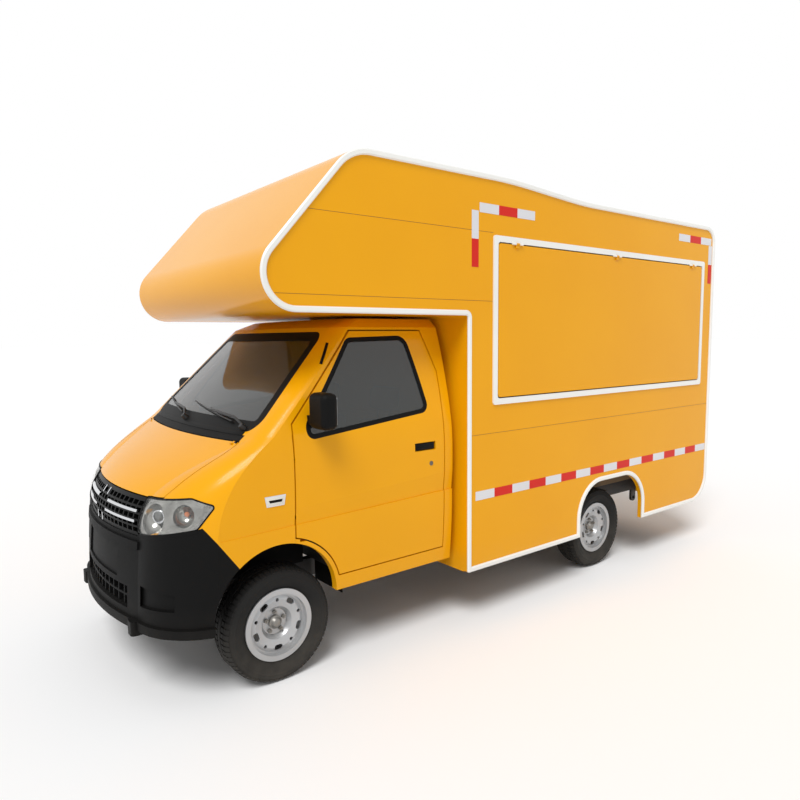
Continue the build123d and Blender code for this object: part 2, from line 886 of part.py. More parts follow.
# What is formed on the bumper: lip below, ledge under the grille, plate recess, mesh intake, feet, side pockets
lip_high = 388
lip_proud = 15
ledge_low = 722
ledge_high = 760
ledge_half = 450
ledge_proud = 12
recess_low = 556
recess_high = 700
recess_half = 255
recess_depth = 10
intake_low = 424
intake_high = 530
intake_half = 360
intake_columns = 12
intake_rows = 2
intake_bar = 10
intake_in = 16
foot_y = 432
foot_width = 72
foot_back = 1660
foot_front = 1782
foot_low = 320
pocket_depth = 16
# columns: distance ahead of the wall, half width, height
pocket_corners = [(1735, 478, 560), (1610, 640, 548), (1615, 640, 470), (1740, 478, 462)]

with BuildPart() as side_pocket:
    with BuildSketch(lamp_plane):
        with BuildLine():
            Polyline(*[((y - ahead(x)) / sqrt(2), z) for x, y, z in pocket_corners], close=True)
        make_face()
    extrude(amount=lamp_start)
    add(low_band(-1, pocket_depth), mode=Mode.INTERSECT)
    mirror(about=Plane.XZ)

with BuildPart() as bumper_lip:
    add(low_band(-lip_proud, skin_low))
    add(across_nose(bumper_low, lip_high, box_half), mode=Mode.INTERSECT)
    add(front_arch.part, mode=Mode.SUBTRACT)

with BuildPart() as bumper_ledge:
    add(low_band(-ledge_proud, skin_low))
    add(across_nose(ledge_low, ledge_high, ledge_half), mode=Mode.INTERSECT)

with BuildPart() as plate_recess:
    add(low_band(-1, recess_depth))
    add(across_nose(recess_low, recess_high, recess_half), mode=Mode.INTERSECT)

with BuildPart() as intake_mesh:
    add(low_band(intake_in, skin_low))
    add(across_nose(intake_low, intake_high, intake_half), mode=Mode.INTERSECT)
    add(
        mesh_cells(intake_low, intake_high, intake_half, intake_columns, intake_rows, intake_bar),
        mode=Mode.SUBTRACT,
    )

with BuildPart() as bumper_feet:
    with Locations((ahead((foot_back + foot_front) / 2), 0, (foot_low + lip_high) / 2)):
        with GridLocations(0, 2 * foot_y, 1, 2):
            Box(foot_front - foot_back, foot_width, lip_high - foot_low)
    fillet(bumper_feet.edges().filter_by(Axis.Z), foot_width / 4)

with BuildPart() as front_bumper:
    add(cab_skin.part)
    add(bumper_region.part, mode=Mode.INTERSECT)
    add(bumper_lip.part)
    add(bumper_ledge.part)
    add(plate_recess.part, mode=Mode.SUBTRACT)
    add(side_pocket.part, mode=Mode.SUBTRACT)
    add(across_nose(intake_low, intake_high, intake_half), mode=Mode.SUBTRACT)
    add(intake_mesh.part)
    add(bumper_feet.part)
    add(both_lamps.part, mode=Mode.SUBTRACT)
    add(across_nose(bumper_top, bonnet_low, grille_half), mode=Mode.SUBTRACT)
save(front_bumper.part, "front_bumper")

# Grille: a dark mesh with bright bars on its face
grille_high = bonnet_low - shut_gap
grille_in = 6
grille_thick = 28
grille_bar = 9
grille_columns = 18
grille_rows = 5
grille_rim = 12
lamp_room = 0.5
with BuildPart() as lamp_clearance:
    add(lamp_prism(lamp_room))
    mirror(about=Plane.XZ)

with BuildPart() as grille:
    add(skin_band(grille_in, grille_in + grille_thick))
    add(across_nose(bumper_top, grille_high, grille_half), mode=Mode.INTERSECT)
    add(
        mesh_cells(
            bumper_top + grille_rim,
            grille_high - grille_rim,
            grille_half - 2 * grille_rim,
            grille_columns,
            grille_rows,
            grille_bar,
        ),
        mode=Mode.SUBTRACT,
    )
    add(lamp_clearance.part, mode=Mode.SUBTRACT)
save(grille.part, "grille")

bright_bar = 12
bright_proud = 3
bright_level_in = 80
bright_level_out = 402
bright_level_heights = (850, 896)
bright_post_y = 38
# columns: lower end and upper end of the upright bars
bright_posts = [(790, 828), (918, 948)]
with BuildPart() as bright_region:
    for z in bright_level_heights:
        with Locations((ahead(nose_middle), 0, z)):
            with GridLocations(0, bright_level_in + bright_level_out, 1, 2):
                Box(nose_depth, bright_level_out - bright_level_in, bright_bar)
    for low, high in bright_posts:
        with Locations((ahead(nose_middle), 0, (low + high) / 2)):
            with GridLocations(0, 2 * bright_post_y, 1, 2):
                Box(nose_depth, bright_bar, high - low)

with BuildPart() as grille_bars:
    add(skin_band(-bright_proud, grille_in))
    add(bright_region.part, mode=Mode.INTERSECT)
save(grille_bars.part, "grille_bars")

fender_rear = door_front + shut_gap
fender_length = 1000
cowl_corner = 10
cowl_room = 160
with BuildPart() as front_fenders:
    add(cab_skin.part)
    with Locations((ahead(fender_rear + fender_length / 2), box_half / 2, cab_belt / 2)):
        Box(fender_length, box_half, cab_belt, mode=Mode.INTERSECT)
    extrude(bonnet_sketch(shut_gap), amount=cab_belt, mode=Mode.SUBTRACT)
    extrude(cowl_sketch(), amount=cab_belt, mode=Mode.SUBTRACT)
    # No sliver is left between the bonnet's curved back edge and the cowl
    for reach, half in (
        (bonnet_back_side + cowl_corner, bonnet_back_half),
        (bonnet_back_middle, bonnet_hinge_y),
    ):
        with Locations((ahead(reach) - cowl_room / 2, 0, cab_belt)):
            Box(cowl_room, 2 * half, cab_belt / 2, mode=Mode.SUBTRACT)
    add(lamp_opening, mode=Mode.SUBTRACT)
    add(bumper_region.part, mode=Mode.SUBTRACT)
    add(across_nose(bumper_top - shut_gap, bonnet_low + shut_gap, grille_half), mode=Mode.SUBTRACT)
    with Locations((ahead(nose_middle), 0, bumper_low / 2)):
        Box(2 * nose_depth, box_width, bumper_low, mode=Mode.SUBTRACT)
    with Locations((hinge_axis_x, hinge_axis_y, cab_belt / 2)):
        Cylinder(door_edge_radius + hinge_play, cab_belt, mode=Mode.SUBTRACT)
    mirror(about=Plane.XZ)
save(front_fenders.part, "front_fenders")

# Cab shell: roof, pillars, sills and back wall, with a post inside each door edge for its hinges
wheelhouse_top = 725
sheet = 20
post_low = wheelhouse_top + sheet / 2
post_high = cab_belt + 30
post_ahead = 1055
post_y = 676
post_length = 130
post_width = 72
hinge_root_y = 700
# Block at the foot of each windscreen pillar
foot_block = (36, 76, 28)
foot_block_ahead = 20
foot_block_y = 730
foot_block_up = 16
corner_room_radius = 26
corner_room_low = 704
with BuildPart() as cab_shell:
    add(cab_skin.part)
    with Locations((ahead(fender_rear + fender_length / 2), 0, cab_belt / 2)):
        Box(fender_length, box_width, cab_belt, mode=Mode.SUBTRACT)
    add(left_prism(door_sketch(shut_gap)), mode=Mode.SUBTRACT)
    # Room over the arch flange for the door's lower front corner as it swings
    with Locations((hinge_axis_x, hinge_axis_y, (corner_room_low + post_low) / 2)):
        Cylinder(corner_room_radius, post_low - corner_room_low, mode=Mode.SUBTRACT)
    with Locations((ahead(post_ahead), post_y, (post_low + post_high) / 2)):
        Box(post_length, post_width, post_high - post_low)
    with Locations((ahead(fender_rear + foot_block_ahead), foot_block_y, cab_belt + foot_block_up)):
        Box(*foot_block)
    for z in hinge_heights:
        with BuildSketch(Plane.XY.offset(z - hinge_plate / 2)):
            with Locations((hinge_axis_x, hinge_axis_y)):
                Circle(hinge_eye)
            with BuildLine():
                Polyline(
                    (hinge_axis_x - hinge_eye, hinge_axis_y),
                    (hinge_axis_x + hinge_eye, hinge_axis_y),
                    (hinge_axis_x + 4 * pin_radius, hinge_root_y),
                    (hinge_axis_x, hinge_root_y),
                    close=True,
                )
            make_face()
        extrude(amount=hinge_plate)
        with Locations((hinge_axis_x, hinge_axis_y, z)):
            Cylinder(pin_radius, pin_length)
    split(bisect_by=Plane.XZ, keep=Keep.BOTTOM)
    mirror(about=Plane.XZ)
    add(screen_opening, mode=Mode.SUBTRACT)
    with Locations((ahead(cab_back), 0, rail_high / 2)):
        Box(4 * skin_low, 2 * rail_y + 2 * rail_width, rail_high, mode=Mode.SUBTRACT)
save(cab_shell.part, "cab_shell")

# Floor, toe board, wheelhouse roof and firewall in one pressed sheet
cab_floor_half = 705
toe_low = 770
toe_high = 840
firewall_low = 1215
firewall_high = 1260
firewall_top = 1120
with BuildPart() as cab_floor:
    with BuildSketch(Plane.XZ):
        with BuildLine():
            profile = Polyline(
                (ahead(cab_back + skin_low) + sheet / 2, rail_high + sheet / 2),
                (ahead(toe_low), rail_high + sheet / 2),
                (ahead(toe_high), wheelhouse_top),
                (ahead(firewall_low), wheelhouse_top),
                (ahead(firewall_high), firewall_top),
            )
            offset(profile, amount=sheet / 2, side=Side.BOTH)
        make_face()
    extrude(amount=cab_floor_half, both=True)
save(cab_floor.part, "cab_floor")

# Liners of the front arches: a sheet bent round in front of the wheel, a wall on its inside, a flap behind it
liner_radius = 352
liner_ahead = 1170
liner_z = 378
liner_sheet = 5
liner_in = 415
liner_out = 690
liner_start = 1232
flap_ahead = 760
with BuildPart() as arch_liners:
    with BuildSketch(Plane.XZ.offset(-liner_in)):
        with Locations((ahead(liner_ahead), liner_z)):
            Circle(liner_radius + liner_sheet)
            Circle(liner_radius, mode=Mode.SUBTRACT)
        with Locations((ahead(liner_start) + liner_radius / 2, bumper_low + liner_radius)):
            Rectangle(liner_radius, 2 * liner_radius, mode=Mode.INTERSECT)
    extrude(amount=liner_in - liner_out)
    with BuildSketch(Plane.XZ.offset(-liner_in)):
        with Locations((ahead(liner_ahead), liner_z)):
            Circle(liner_radius + liner_sheet)
        with Locations((ahead(liner_start) + liner_radius / 2, rail_high + liner_radius)):
            Rectangle(liner_radius, 2 * liner_radius, mode=Mode.INTERSECT)
        with Locations((ahead((toe_high + liner_start) / 2), (rail_high + wheelhouse_top) / 2)):
            Rectangle(liner_start - toe_high, wheelhouse_top - rail_high)
    extrude(amount=-liner_sheet)
    with Locations((ahead(flap_ahead), (liner_in + liner_out) / 2, (bumper_low + rail_high) / 2)):
        Box(liner_sheet, liner_out - liner_in, rail_high - bumper_low)
    add(cab_floor.part, mode=Mode.SUBTRACT)
    mirror(about=Plane.XZ)
save(arch_liners.part, "arch_liners")

# Dashboard; columns: distance ahead of the wall, height, corner radius
dash_corners = [
    (1255, 1085, 4),
    (1190, 1170, 25),
    (960, 1160, 40),
    (900, 1080, 40),
    (960, 860, 40),
    (1235, 850, 4),
]
dash_half = 600
with BuildPart() as dashboard:
    with BuildSketch(Plane.XZ):
        with BuildLine():
            points = [(ahead(x), z) for x, z, radius in dash_corners]
            FilletPolyline(*points, radius=[row[2] for row in dash_corners], close=True)
        make_face()
    extrude(amount=dash_half, both=True)
    add(cab_floor.part, mode=Mode.SUBTRACT)
save(dashboard.part, "dashboard")

# Seats; columns: distance ahead of the wall, height, corner radius
seat_y = 330
seat_width = 480
seat_foot = rail_high + sheet
seat_corners = [
    (170, seat_foot, 4),
    (580, seat_foot, 4),
    (580, 640, 10),
    (640, 660, 20),
    (640, 800, 50),
    (320, 770, 40),
    (240, 1420, 40),
    (130, 1420, 40),
    (170, 640, 20),
]
with BuildPart() as seats:
    with BuildSketch(Plane.XZ.offset(-seat_y)):
        with BuildLine():
            points = [(ahead(x), z) for x, z, radius in seat_corners]
            FilletPolyline(*points, radius=[row[2] for row in seat_corners], close=True)
        make_face()
    extrude(amount=seat_width / 2, both=True)
    mirror(about=Plane.XZ)
save(seats.part, "seats")

steering_y = 330
steering_ahead = 760
steering_z = 1060
steering_tilt = 50
steering_ring = 185
steering_grip = 14
steering_hub_radius = 60
steering_hub_thick = 40
spoke_width = 34
column_radius = 22
column_start = 20
column_end = 230
with BuildPart() as steering_wheel:
    hub = Plane(
        origin=(ahead(steering_ahead), steering_y, steering_z),
        z_dir=(-sin(radians(steering_tilt)), 0, cos(radians(steering_tilt))),
    )
    with Locations(hub):
        Torus(steering_ring, steering_grip)
        Cylinder(steering_hub_radius, steering_hub_thick)
        with PolarLocations(0, 3, start_angle=90):
            with Locations((steering_ring / 2, 0, 0)):
                Box(steering_ring, spoke_width, steering_grip)
        with Locations((0, 0, -(column_start + column_end) / 2)):
            Cylinder(column_radius, column_end - column_start)
    add(dashboard.part, mode=Mode.SUBTRACT)
save(steering_wheel.part, "steering_wheel")

# Mirrors on short arms at the front of the door windows
mirror_ahead = 968
mirror_out = 875
mirror_z = 1350
mirror_depth = 90
mirror_width = 150
mirror_height = 175
mirror_round = 32
mirror_arm = (50, 130, 44)
mirror_arm_y = 810
mirror_arm_drop = 50
with BuildPart() as mirror_left:
    with Locations((ahead(mirror_ahead), mirror_out, mirror_z)):
        Box(mirror_depth, mirror_width, mirror_height)
    fillet(mirror_left.edges(), mirror_round)
    with Locations((ahead(mirror_ahead), mirror_arm_y, mirror_z - mirror_arm_drop)):
        Box(*mirror_arm)
    add(cab_outer, mode=Mode.SUBTRACT)
save(mirror_left.part, "mirror_left")

with BuildPart() as mirror_right:
    mirror(mirror_left.part, about=Plane.XZ)
save(mirror_right.part, "mirror_right")

# Frame: two rails and the cross members between them
rail_back = rear_seam
rail_length = ahead(rail_front) - rail_back
tow_eye_length = 80
tow_eye_thick = 20
tow_eye_drop = 78
tow_eye_radius = 16
tow_eye_rim = 32
tow_eye_places = (ahead(rail_front) - tow_eye_length, rail_back + tow_eye_length)
with BuildPart() as frame_rails:
    with Locations(((ahead(rail_front) + rail_back) / 2, 0, (rail_low + rail_high) / 2)):
        with GridLocations(0, 2 * rail_y, 1, 2):
            Box(rail_length, rail_width, rail_high - rail_low)
    # Tow eyes hang below the body, each a plate with a round end
    for x in tow_eye_places:
        with BuildSketch(Plane.XZ):
            with Locations((x, rail_low - tow_eye_drop)):
                Circle(tow_eye_rim)
            with Locations((x, rail_low - tow_eye_drop / 2)):
                Rectangle(2 * tow_eye_rim, tow_eye_drop)
            with Locations((x, rail_low - tow_eye_drop)):
                Circle(tow_eye_radius, mode=Mode.SUBTRACT)
        eye = extrude(amount=tow_eye_thick / 2, both=True, mode=Mode.PRIVATE)
        for side in (-1, 1):
            add(eye.moved(Location((0, side * rail_y, 0))))
save(frame_rails.part, "frame_rails")

cross_width = 80
cross_height = 60
cross_z = (rail_low + rail_high) / 2 - 10
cross_span = 2 * rail_y - rail_width
cross_places = [ahead(x) for x in (1560, 1150, 500, -350, -1000, -1900, -2600)]
with BuildPart() as frame_crossmembers:
    for x in cross_places:
        with Locations((x, 0, cross_z)):
            Box(cross_width, cross_span, cross_height)
save(frame_crossmembers.part, "frame_crossmembers")

# Engine and gearbox, one plain block on two cross members
block_low = cross_z + cross_height / 2
engine_size = (270, 420, 320)
engine_ahead = 1405
gearbox_size = (160, 240, 150)
gearbox_ahead = 1190
with BuildPart() as engine_block:
    for size, place in ((engine_size, engine_ahead), (gearbox_size, gearbox_ahead)):
        with Locations((ahead(place), 0, block_low + size[2] / 2)):
            Box(*size)
save(engine_block.part, "engine_block")

# Exhaust under the cross members
pipe_radius = 20
pipe_front = 1080
silencer_radius = 75
silencer_back = -800
silencer_length = 360
exhaust_y = -180
exhaust_z = cross_z - cross_height / 2 - pipe_radius
with BuildPart() as exhaust:
    with BuildSketch(along_x(rear_seam, exhaust_y, exhaust_z)):
        Circle(pipe_radius)
    extrude(amount=ahead(pipe_front) - rear_seam)
    with BuildSketch(along_x(ahead(silencer_back), exhaust_y, exhaust_z - silencer_radius / 3)):
        Circle(silencer_radius)
    extrude(amount=silencer_length)
save(exhaust.part, "exhaust")

tank_size = (560, 300, 190)
tank_ahead = -600
tank_z = 470
tank_round = 40
with BuildPart() as fuel_tank:
    with Locations((ahead(tank_ahead), -(rail_y + rail_width / 2 + tank_size[1] / 2), tank_z)):
        Box(*tank_size)
    fillet(fuel_tank.edges().filter_by(Axis.X), tank_round)
save(fuel_tank.part, "fuel_tank")

# Front arms and the steering knuckles between them
kingpin_y = 552
kingpin_radius = 11
arm_low_z = 200
arm_high_z = 375
arm_thick = 24
arm_eye = 26
arm_root_half = 100
arm_root_y = 310
carrier_width = 120
with BuildPart() as front_arms:
    for z in (arm_low_z, arm_high_z):
        with BuildSketch(Plane.XY.offset(z - arm_thick / 2)):
            with BuildLine():
                Polyline(
                    (front_axle_x - arm_root_half, arm_root_y),
                    (front_axle_x + arm_root_half, arm_root_y),
                    (front_axle_x + arm_eye, kingpin_y),
                    (front_axle_x - arm_eye, kingpin_y),
                    close=True,
                )
            make_face()
            with Locations((front_axle_x, kingpin_y)):
                Circle(arm_eye)
                Circle(kingpin_radius + running_gap, mode=Mode.SUBTRACT)
        extrude(amount=arm_thick)
    # Carrier across the truck, cut where the rails and the cross member pass
    with Locations((front_axle_x, cross_span / 4, (arm_low_z + rail_low) / 2)):
        Box(carrier_width, cross_span / 2, rail_low - arm_low_z + arm_thick)
    with Locations((front_axle_x, rail_y, (rail_low + rail_high) / 2)):
        Box(4 * arm_root_half, rail_width, rail_high - rail_low, mode=Mode.SUBTRACT)
    with Locations((front_axle_x, 0, cross_z)):
        Box(cross_width, cross_span, cross_height, mode=Mode.SUBTRACT)
    mirror(about=Plane.XZ)
save(front_arms.part, "front_arms")

knuckle_width = 44
spindle_end = wheel_y + 40
with BuildPart() as knuckle_left:
    low = arm_low_z + arm_thick / 2 + running_gap
    high = arm_high_z - arm_thick / 2 - running_gap
    with Locations((front_axle_x, kingpin_y, (low + high) / 2)):
        Box(knuckle_width, knuckle_width, high - low)
    with Locations((front_axle_x, kingpin_y, (arm_low_z + arm_high_z) / 2)):
        Cylinder(kingpin_radius, arm_high_z - arm_low_z + arm_thick)
    with BuildSketch(Plane.XZ.offset(-kingpin_y)):
        with Locations((front_axle_x, axle_z)):
            Circle(spindle_radius)
    extrude(amount=kingpin_y - spindle_end)
save(knuckle_left.part, "knuckle_left")

with BuildPart() as knuckle_right:
    mirror(knuckle_left.part, about=Plane.XZ)
save(knuckle_right.part, "knuckle_right")

# Rear axle with its spindles, and leaf springs from the rails
axle_radius = 38
axle_end = 590
differential_radius = 110
with BuildPart() as rear_axle:
    with BuildSketch(Plane.XZ):
        with Locations((rear_axle_x, axle_z)):
            Circle(axle_radius)
    extrude(amount=axle_end, both=True)
    with BuildSketch(Plane.XZ):
        with Locations((rear_axle_x, axle_z)):
            Circle(spindle_radius)
    extrude(amount=spindle_end, both=True)
    with Locations((rear_axle_x, 0, axle_z)):
        Sphere(differential_radius)
save(rear_axle.part, "rear_axle")

# Each spring hangs from two brackets on the outside of its rail
spring_half = 520
spring_y = 440
spring_width = 60
spring_thick = 24
spring_rise = 60
bracket = 60
with BuildPart() as leaf_springs:
    seat_z = axle_z + axle_radius
    end_z = seat_z + spring_rise
    front_end = rear_axle_x + spring_half
    rear_end = rear_axle_x - spring_half
    with BuildSketch(Plane.XZ.offset(-spring_y)):
        with BuildLine():
            ThreePointArc((rear_end, end_z), (rear_axle_x, seat_z), (front_end, end_z))
            Line((front_end, end_z), (front_end, end_z + spring_thick))
            ThreePointArc(
                (front_end, end_z + spring_thick),
                (rear_axle_x, seat_z + spring_thick),
                (rear_end, end_z + spring_thick),
            )
            Line((rear_end, end_z + spring_thick), (rear_end, end_z))
        make_face()
    extrude(amount=spring_width / 2, both=True)
    for x in (rear_end + bracket / 2, front_end - bracket / 2):
        outside = spring_y + spring_width / 2
        with Locations((x, (rail_y + outside) / 2, end_z + spring_thick)):
            Box(bracket, outside - rail_y, bracket)
    with Locations((rear_axle_x, rail_y, (rail_low + rail_high) / 2)):
        Box(2 * spring_half + bracket, rail_width, rail_high - rail_low, mode=Mode.SUBTRACT)
    mirror(about=Plane.XZ)
save(leaf_springs.part, "leaf_springs")

# Wheels: one tyre and one steel rim, turned about the axle and set at each corner
disc_out = 40
disc_thick = 8
bowl_radius = 95
hole_circle = 122
large_hole = (46, 26)
small_hole = 9
bead_in = 12
bead_height = 20
side_height = 60
shoulder_in = 6
tyre_rounds = [4, 12, 40, 24]
flange_thick = 10
barrel_thick = 10
ring_rise = 14
ring_width = 20
ring_step = 6
hub_drop = 26
hub_thick = 20
hub_edge = 30
bowl_edge = 12


def tyre(x, side):
    half = tyre_width / 2
    bead = rim_width / 2 - bead_in
    with BuildPart() as part:
        with BuildSketch(Plane(origin=(x, side * wheel_y, axle_z), x_dir=(0, 1, 0), z_dir=(1, 0, 0))):
            with BuildLine():
                FilletPolyline(
                    (-bead, rim_radius),
                    (-bead, rim_radius + bead_height),
                    (-half, rim_radius + side_height),
                    (-half + shoulder_in, tyre_radius),
                    (half - shoulder_in, tyre_radius),
                    (half, rim_radius + side_height),
                    (bead, rim_radius + bead_height),
                    (bead, rim_radius),
                    radius=tyre_rounds + tyre_rounds[::-1],
                    close=True,
                )
            make_face()
        revolve(axis=Axis((x, side * wheel_y, axle_z), (0, 1, 0)))
    return part.part


def rim(x, side):
    """Barrel with rolled flanges and a dished disc with ten holes."""
    half = rim_width / 2
    barrel = rim_radius - barrel_thick
    hub_face = disc_out - hub_drop
    with BuildPart() as part:
        with BuildSketch(Plane(origin=(x, side * wheel_y, axle_z), x_dir=(0, side, 0), z_dir=(side, 0, 0))):
            with BuildLine():
                Polyline(
                    (-half, flange_radius),
                    (-half + flange_thick, flange_radius),
                    (-half + flange_thick, rim_radius - running_gap),
                    (half - flange_thick, rim_radius - running_gap),
                    (half - flange_thick, flange_radius),
                    (half, flange_radius),
                    (half, barrel),
                    (disc_out + ring_step, barrel),
                    (disc_out + ring_step, hole_circle + ring_width),
                    (disc_out + ring_rise, hole_circle),
                    (disc_out, bowl_radius - bowl_edge),
                    (hub_face, bowl_radius - hub_edge),
                    (hub_face, spindle_radius + running_gap),
                    (hub_face - hub_thick, spindle_radius + running_gap),
                    (hub_face - hub_thick, bowl_radius - hub_edge - disc_thick),
                    (hub_face - disc_thick, bowl_radius - hub_edge + disc_thick),
                    (disc_out - disc_thick, bowl_radius),
                    (disc_out + ring_rise - disc_thick, hole_circle),
                    (disc_out + ring_step - disc_thick, barrel),
                    (-half, barrel),
                    close=True,
                )
            make_face()
        revolve(axis=Axis((x, side * wheel_y, axle_z), (0, 1, 0)))
        face_plane = Plane(origin=(x, side * wheel_y, axle_z), x_dir=(1, 0, 0), z_dir=(0, side, 0))
        with BuildSketch(face_plane):
            with PolarLocations(hole_circle, 5, start_angle=90):
                SlotOverall(*large_hole, rotation=90)
            with PolarLocations(hole_circle, 5, start_angle=126):
                Circle(small_hole)
        extrude(amount=rim_width, mode=Mode.SUBTRACT)
    return part.part


for corner, x, side in (
    ("front_left", front_axle_x, 1),
    ("front_right", front_axle_x, -1),
    ("rear_left", rear_axle_x, 1),
    ("rear_right", rear_axle_x, -1),
):
    save(tyre(x, side), f"tyre_{corner}")
    save(rim(x, side), f"rim_{corner}")
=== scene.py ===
# %% [markdown]
# A food truck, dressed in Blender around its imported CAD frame.
# The frame gives every solid at its real size, in metres.
# +X is forward, +Y is to the truck's left and +Z is up.
# This lesson first looks at the frame, then mixes the finishes, then models the small things that CAD
# leaves out, and last sets up a camera and soft light. Nothing here moves or resizes a CAD solid.

# %% Load the frame
from math import cos, pi, radians, sin

import bpy
from mathutils import Matrix, Vector


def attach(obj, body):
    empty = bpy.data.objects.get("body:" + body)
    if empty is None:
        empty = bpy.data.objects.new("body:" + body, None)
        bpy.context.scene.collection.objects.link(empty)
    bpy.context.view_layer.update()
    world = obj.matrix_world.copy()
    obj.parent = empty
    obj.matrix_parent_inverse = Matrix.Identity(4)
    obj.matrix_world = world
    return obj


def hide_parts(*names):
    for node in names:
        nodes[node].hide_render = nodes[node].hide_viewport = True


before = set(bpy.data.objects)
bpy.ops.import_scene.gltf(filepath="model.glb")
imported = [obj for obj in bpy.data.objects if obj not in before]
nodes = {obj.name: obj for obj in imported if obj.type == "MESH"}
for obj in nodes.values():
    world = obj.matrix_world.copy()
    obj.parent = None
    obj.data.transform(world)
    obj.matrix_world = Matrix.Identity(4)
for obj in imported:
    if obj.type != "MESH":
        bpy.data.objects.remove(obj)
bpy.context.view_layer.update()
scene = bpy.context.scene

# %% [markdown]
# Every finish on the truck shares a few effects: a slow drift of tone, road dust that gathers low down,
# and a fine grain that breaks up highlights. Each effect is a node group with named sockets, built once,
# so that each material only sets its own values.


# %% Node groups
def new_group(name, inputs, outputs):
    group = bpy.data.node_groups.new(name, "ShaderNodeTree")
    for label, kind, value in inputs:
        socket = group.interface.new_socket(label, in_out="INPUT", socket_type=kind)
        socket.default_value = value
    for label, kind in outputs:
        group.interface.new_socket(label, in_out="OUTPUT", socket_type=kind)
    entry = group.nodes.new("NodeGroupInput")
    leave = group.nodes.new("NodeGroupOutput")
    return group, entry, leave


def connect(tree, *pairs):
    for source, target in pairs:
        tree.links.new(source, target)


def grain_group():
    """Fine bumps: a height that changes over the surface at the given scale."""
    group, entry, leave = new_group(
        "fine_grain",
        [("Scale", "NodeSocketFloat", 200.0), ("Detail", "NodeSocketFloat", 2.0)],
        [("Height", "NodeSocketFloat")],
    )
    place = group.nodes.new("ShaderNodeTexCoord")
    noise = group.nodes.new("ShaderNodeTexNoise")
    connect(
        group,
        (place.outputs["Object"], noise.inputs["Vector"]),
        (entry.outputs["Scale"], noise.inputs["Scale"]),
        (entry.outputs["Detail"], noise.inputs["Detail"]),
        (noise.outputs["Fac"], leave.inputs["Height"]),
    )
    return group


def drift_group():
    """A colour that wanders a little between two tones, and a roughness that wanders with it."""
    group, entry, leave = new_group(
        "tone_drift",
        [
            ("Tone", "NodeSocketColor", (0.5, 0.5, 0.5, 1)),
            ("Shade", "NodeSocketColor", (0.4, 0.4, 0.4, 1)),
            ("Scale", "NodeSocketFloat", 3.0),
            ("Gloss", "NodeSocketFloat", 0.3),
            ("Spread", "NodeSocketFloat", 0.08),
            ("Dust Top", "NodeSocketFloat", 0.4),
            ("Dust", "NodeSocketFloat", 0.0),
        ],
        [("Color", "NodeSocketColor"), ("Roughness", "NodeSocketFloat")],
    )
    place = group.nodes.new("ShaderNodeTexCoord")
    noise = group.nodes.new("ShaderNodeTexNoise")
    noise.inputs["Detail"].default_value = 5.0
    mix = group.nodes.new("ShaderNodeMix")
    mix.data_type = "RGBA"
    rough = group.nodes.new("ShaderNodeMath")
    rough.operation = "MULTIPLY_ADD"
    split = group.nodes.new("ShaderNodeSeparateXYZ")
    low = group.nodes.new("ShaderNodeMapRange")
    low.inputs["From Min"].default_value = 0.0
    low.inputs["To Min"].default_value = 1.0
    low.inputs["To Max"].default_value = 0.0
    speck = group.nodes.new("ShaderNodeTexNoise")
    speck.inputs["Scale"].default_value = 14.0
    speck.inputs["Detail"].default_value = 6.0
    patch = group.nodes.new("ShaderNodeMath")
    patch.operation = "MULTIPLY"
    amount = group.nodes.new("ShaderNodeMath")
    amount.operation = "MULTIPLY"
    dust = group.nodes.new("ShaderNodeMix")
    dust.data_type = "RGBA"
    dust.inputs["B"].default_value = (0.30, 0.26, 0.21, 1)
    connect(
        group,
        (place.outputs["Object"], noise.inputs["Vector"]),
        (place.outputs["Object"], speck.inputs["Vector"]),
        (place.outputs["Object"], split.inputs["Vector"]),
        (entry.outputs["Scale"], noise.inputs["Scale"]),
        (noise.outputs["Fac"], mix.inputs["Factor"]),
        (entry.outputs["Tone"], mix.inputs["A"]),
        (entry.outputs["Shade"], mix.inputs["B"]),
        (noise.outputs["Fac"], rough.inputs[0]),
        (entry.outputs["Spread"], rough.inputs[1]),
        (entry.outputs["Gloss"], rough.inputs[2]),
        (split.outputs["Z"], low.inputs["Value"]),
        (entry.outputs["Dust Top"], low.inputs["From Max"]),
        (low.outputs["Result"], patch.inputs[0]),
        (speck.outputs["Fac"], patch.inputs[1]),
        (patch.outputs["Value"], amount.inputs[0]),
        (entry.outputs["Dust"], amount.inputs[1]),
        (amount.outputs["Value"], dust.inputs["Factor"]),
        (mix.outputs["Result"], dust.inputs["A"]),
        (dust.outputs["Result"], leave.inputs["Color"]),
        (rough.outputs["Value"], leave.inputs["Roughness"]),
    )
    return group


fine_grain = grain_group()
tone_drift = drift_group()
print("node groups:", [group.name for group in bpy.data.node_groups])

# %% [markdown]
# Most of the truck is sheet metal or moulded plastic, so one function lays out the usual chain:
# drifting tone into colour and roughness, fine grain into a bump. What differs is passed in by name.
# Numbers that are the same all over, such as coat or metal, go straight onto the shader's own sockets.


# %% Finishes
def linear(red, green, blue):
    """A colour as a screen shows it, 0 to 255, turned to the linear values that a shader wants."""
    parts = []
    for part in (red, green, blue):
        share = part / 255
        parts.append(share / 12.92 if share <= 0.04045 else ((share + 0.055) / 1.055) ** 2.4)
    return (*parts, 1)


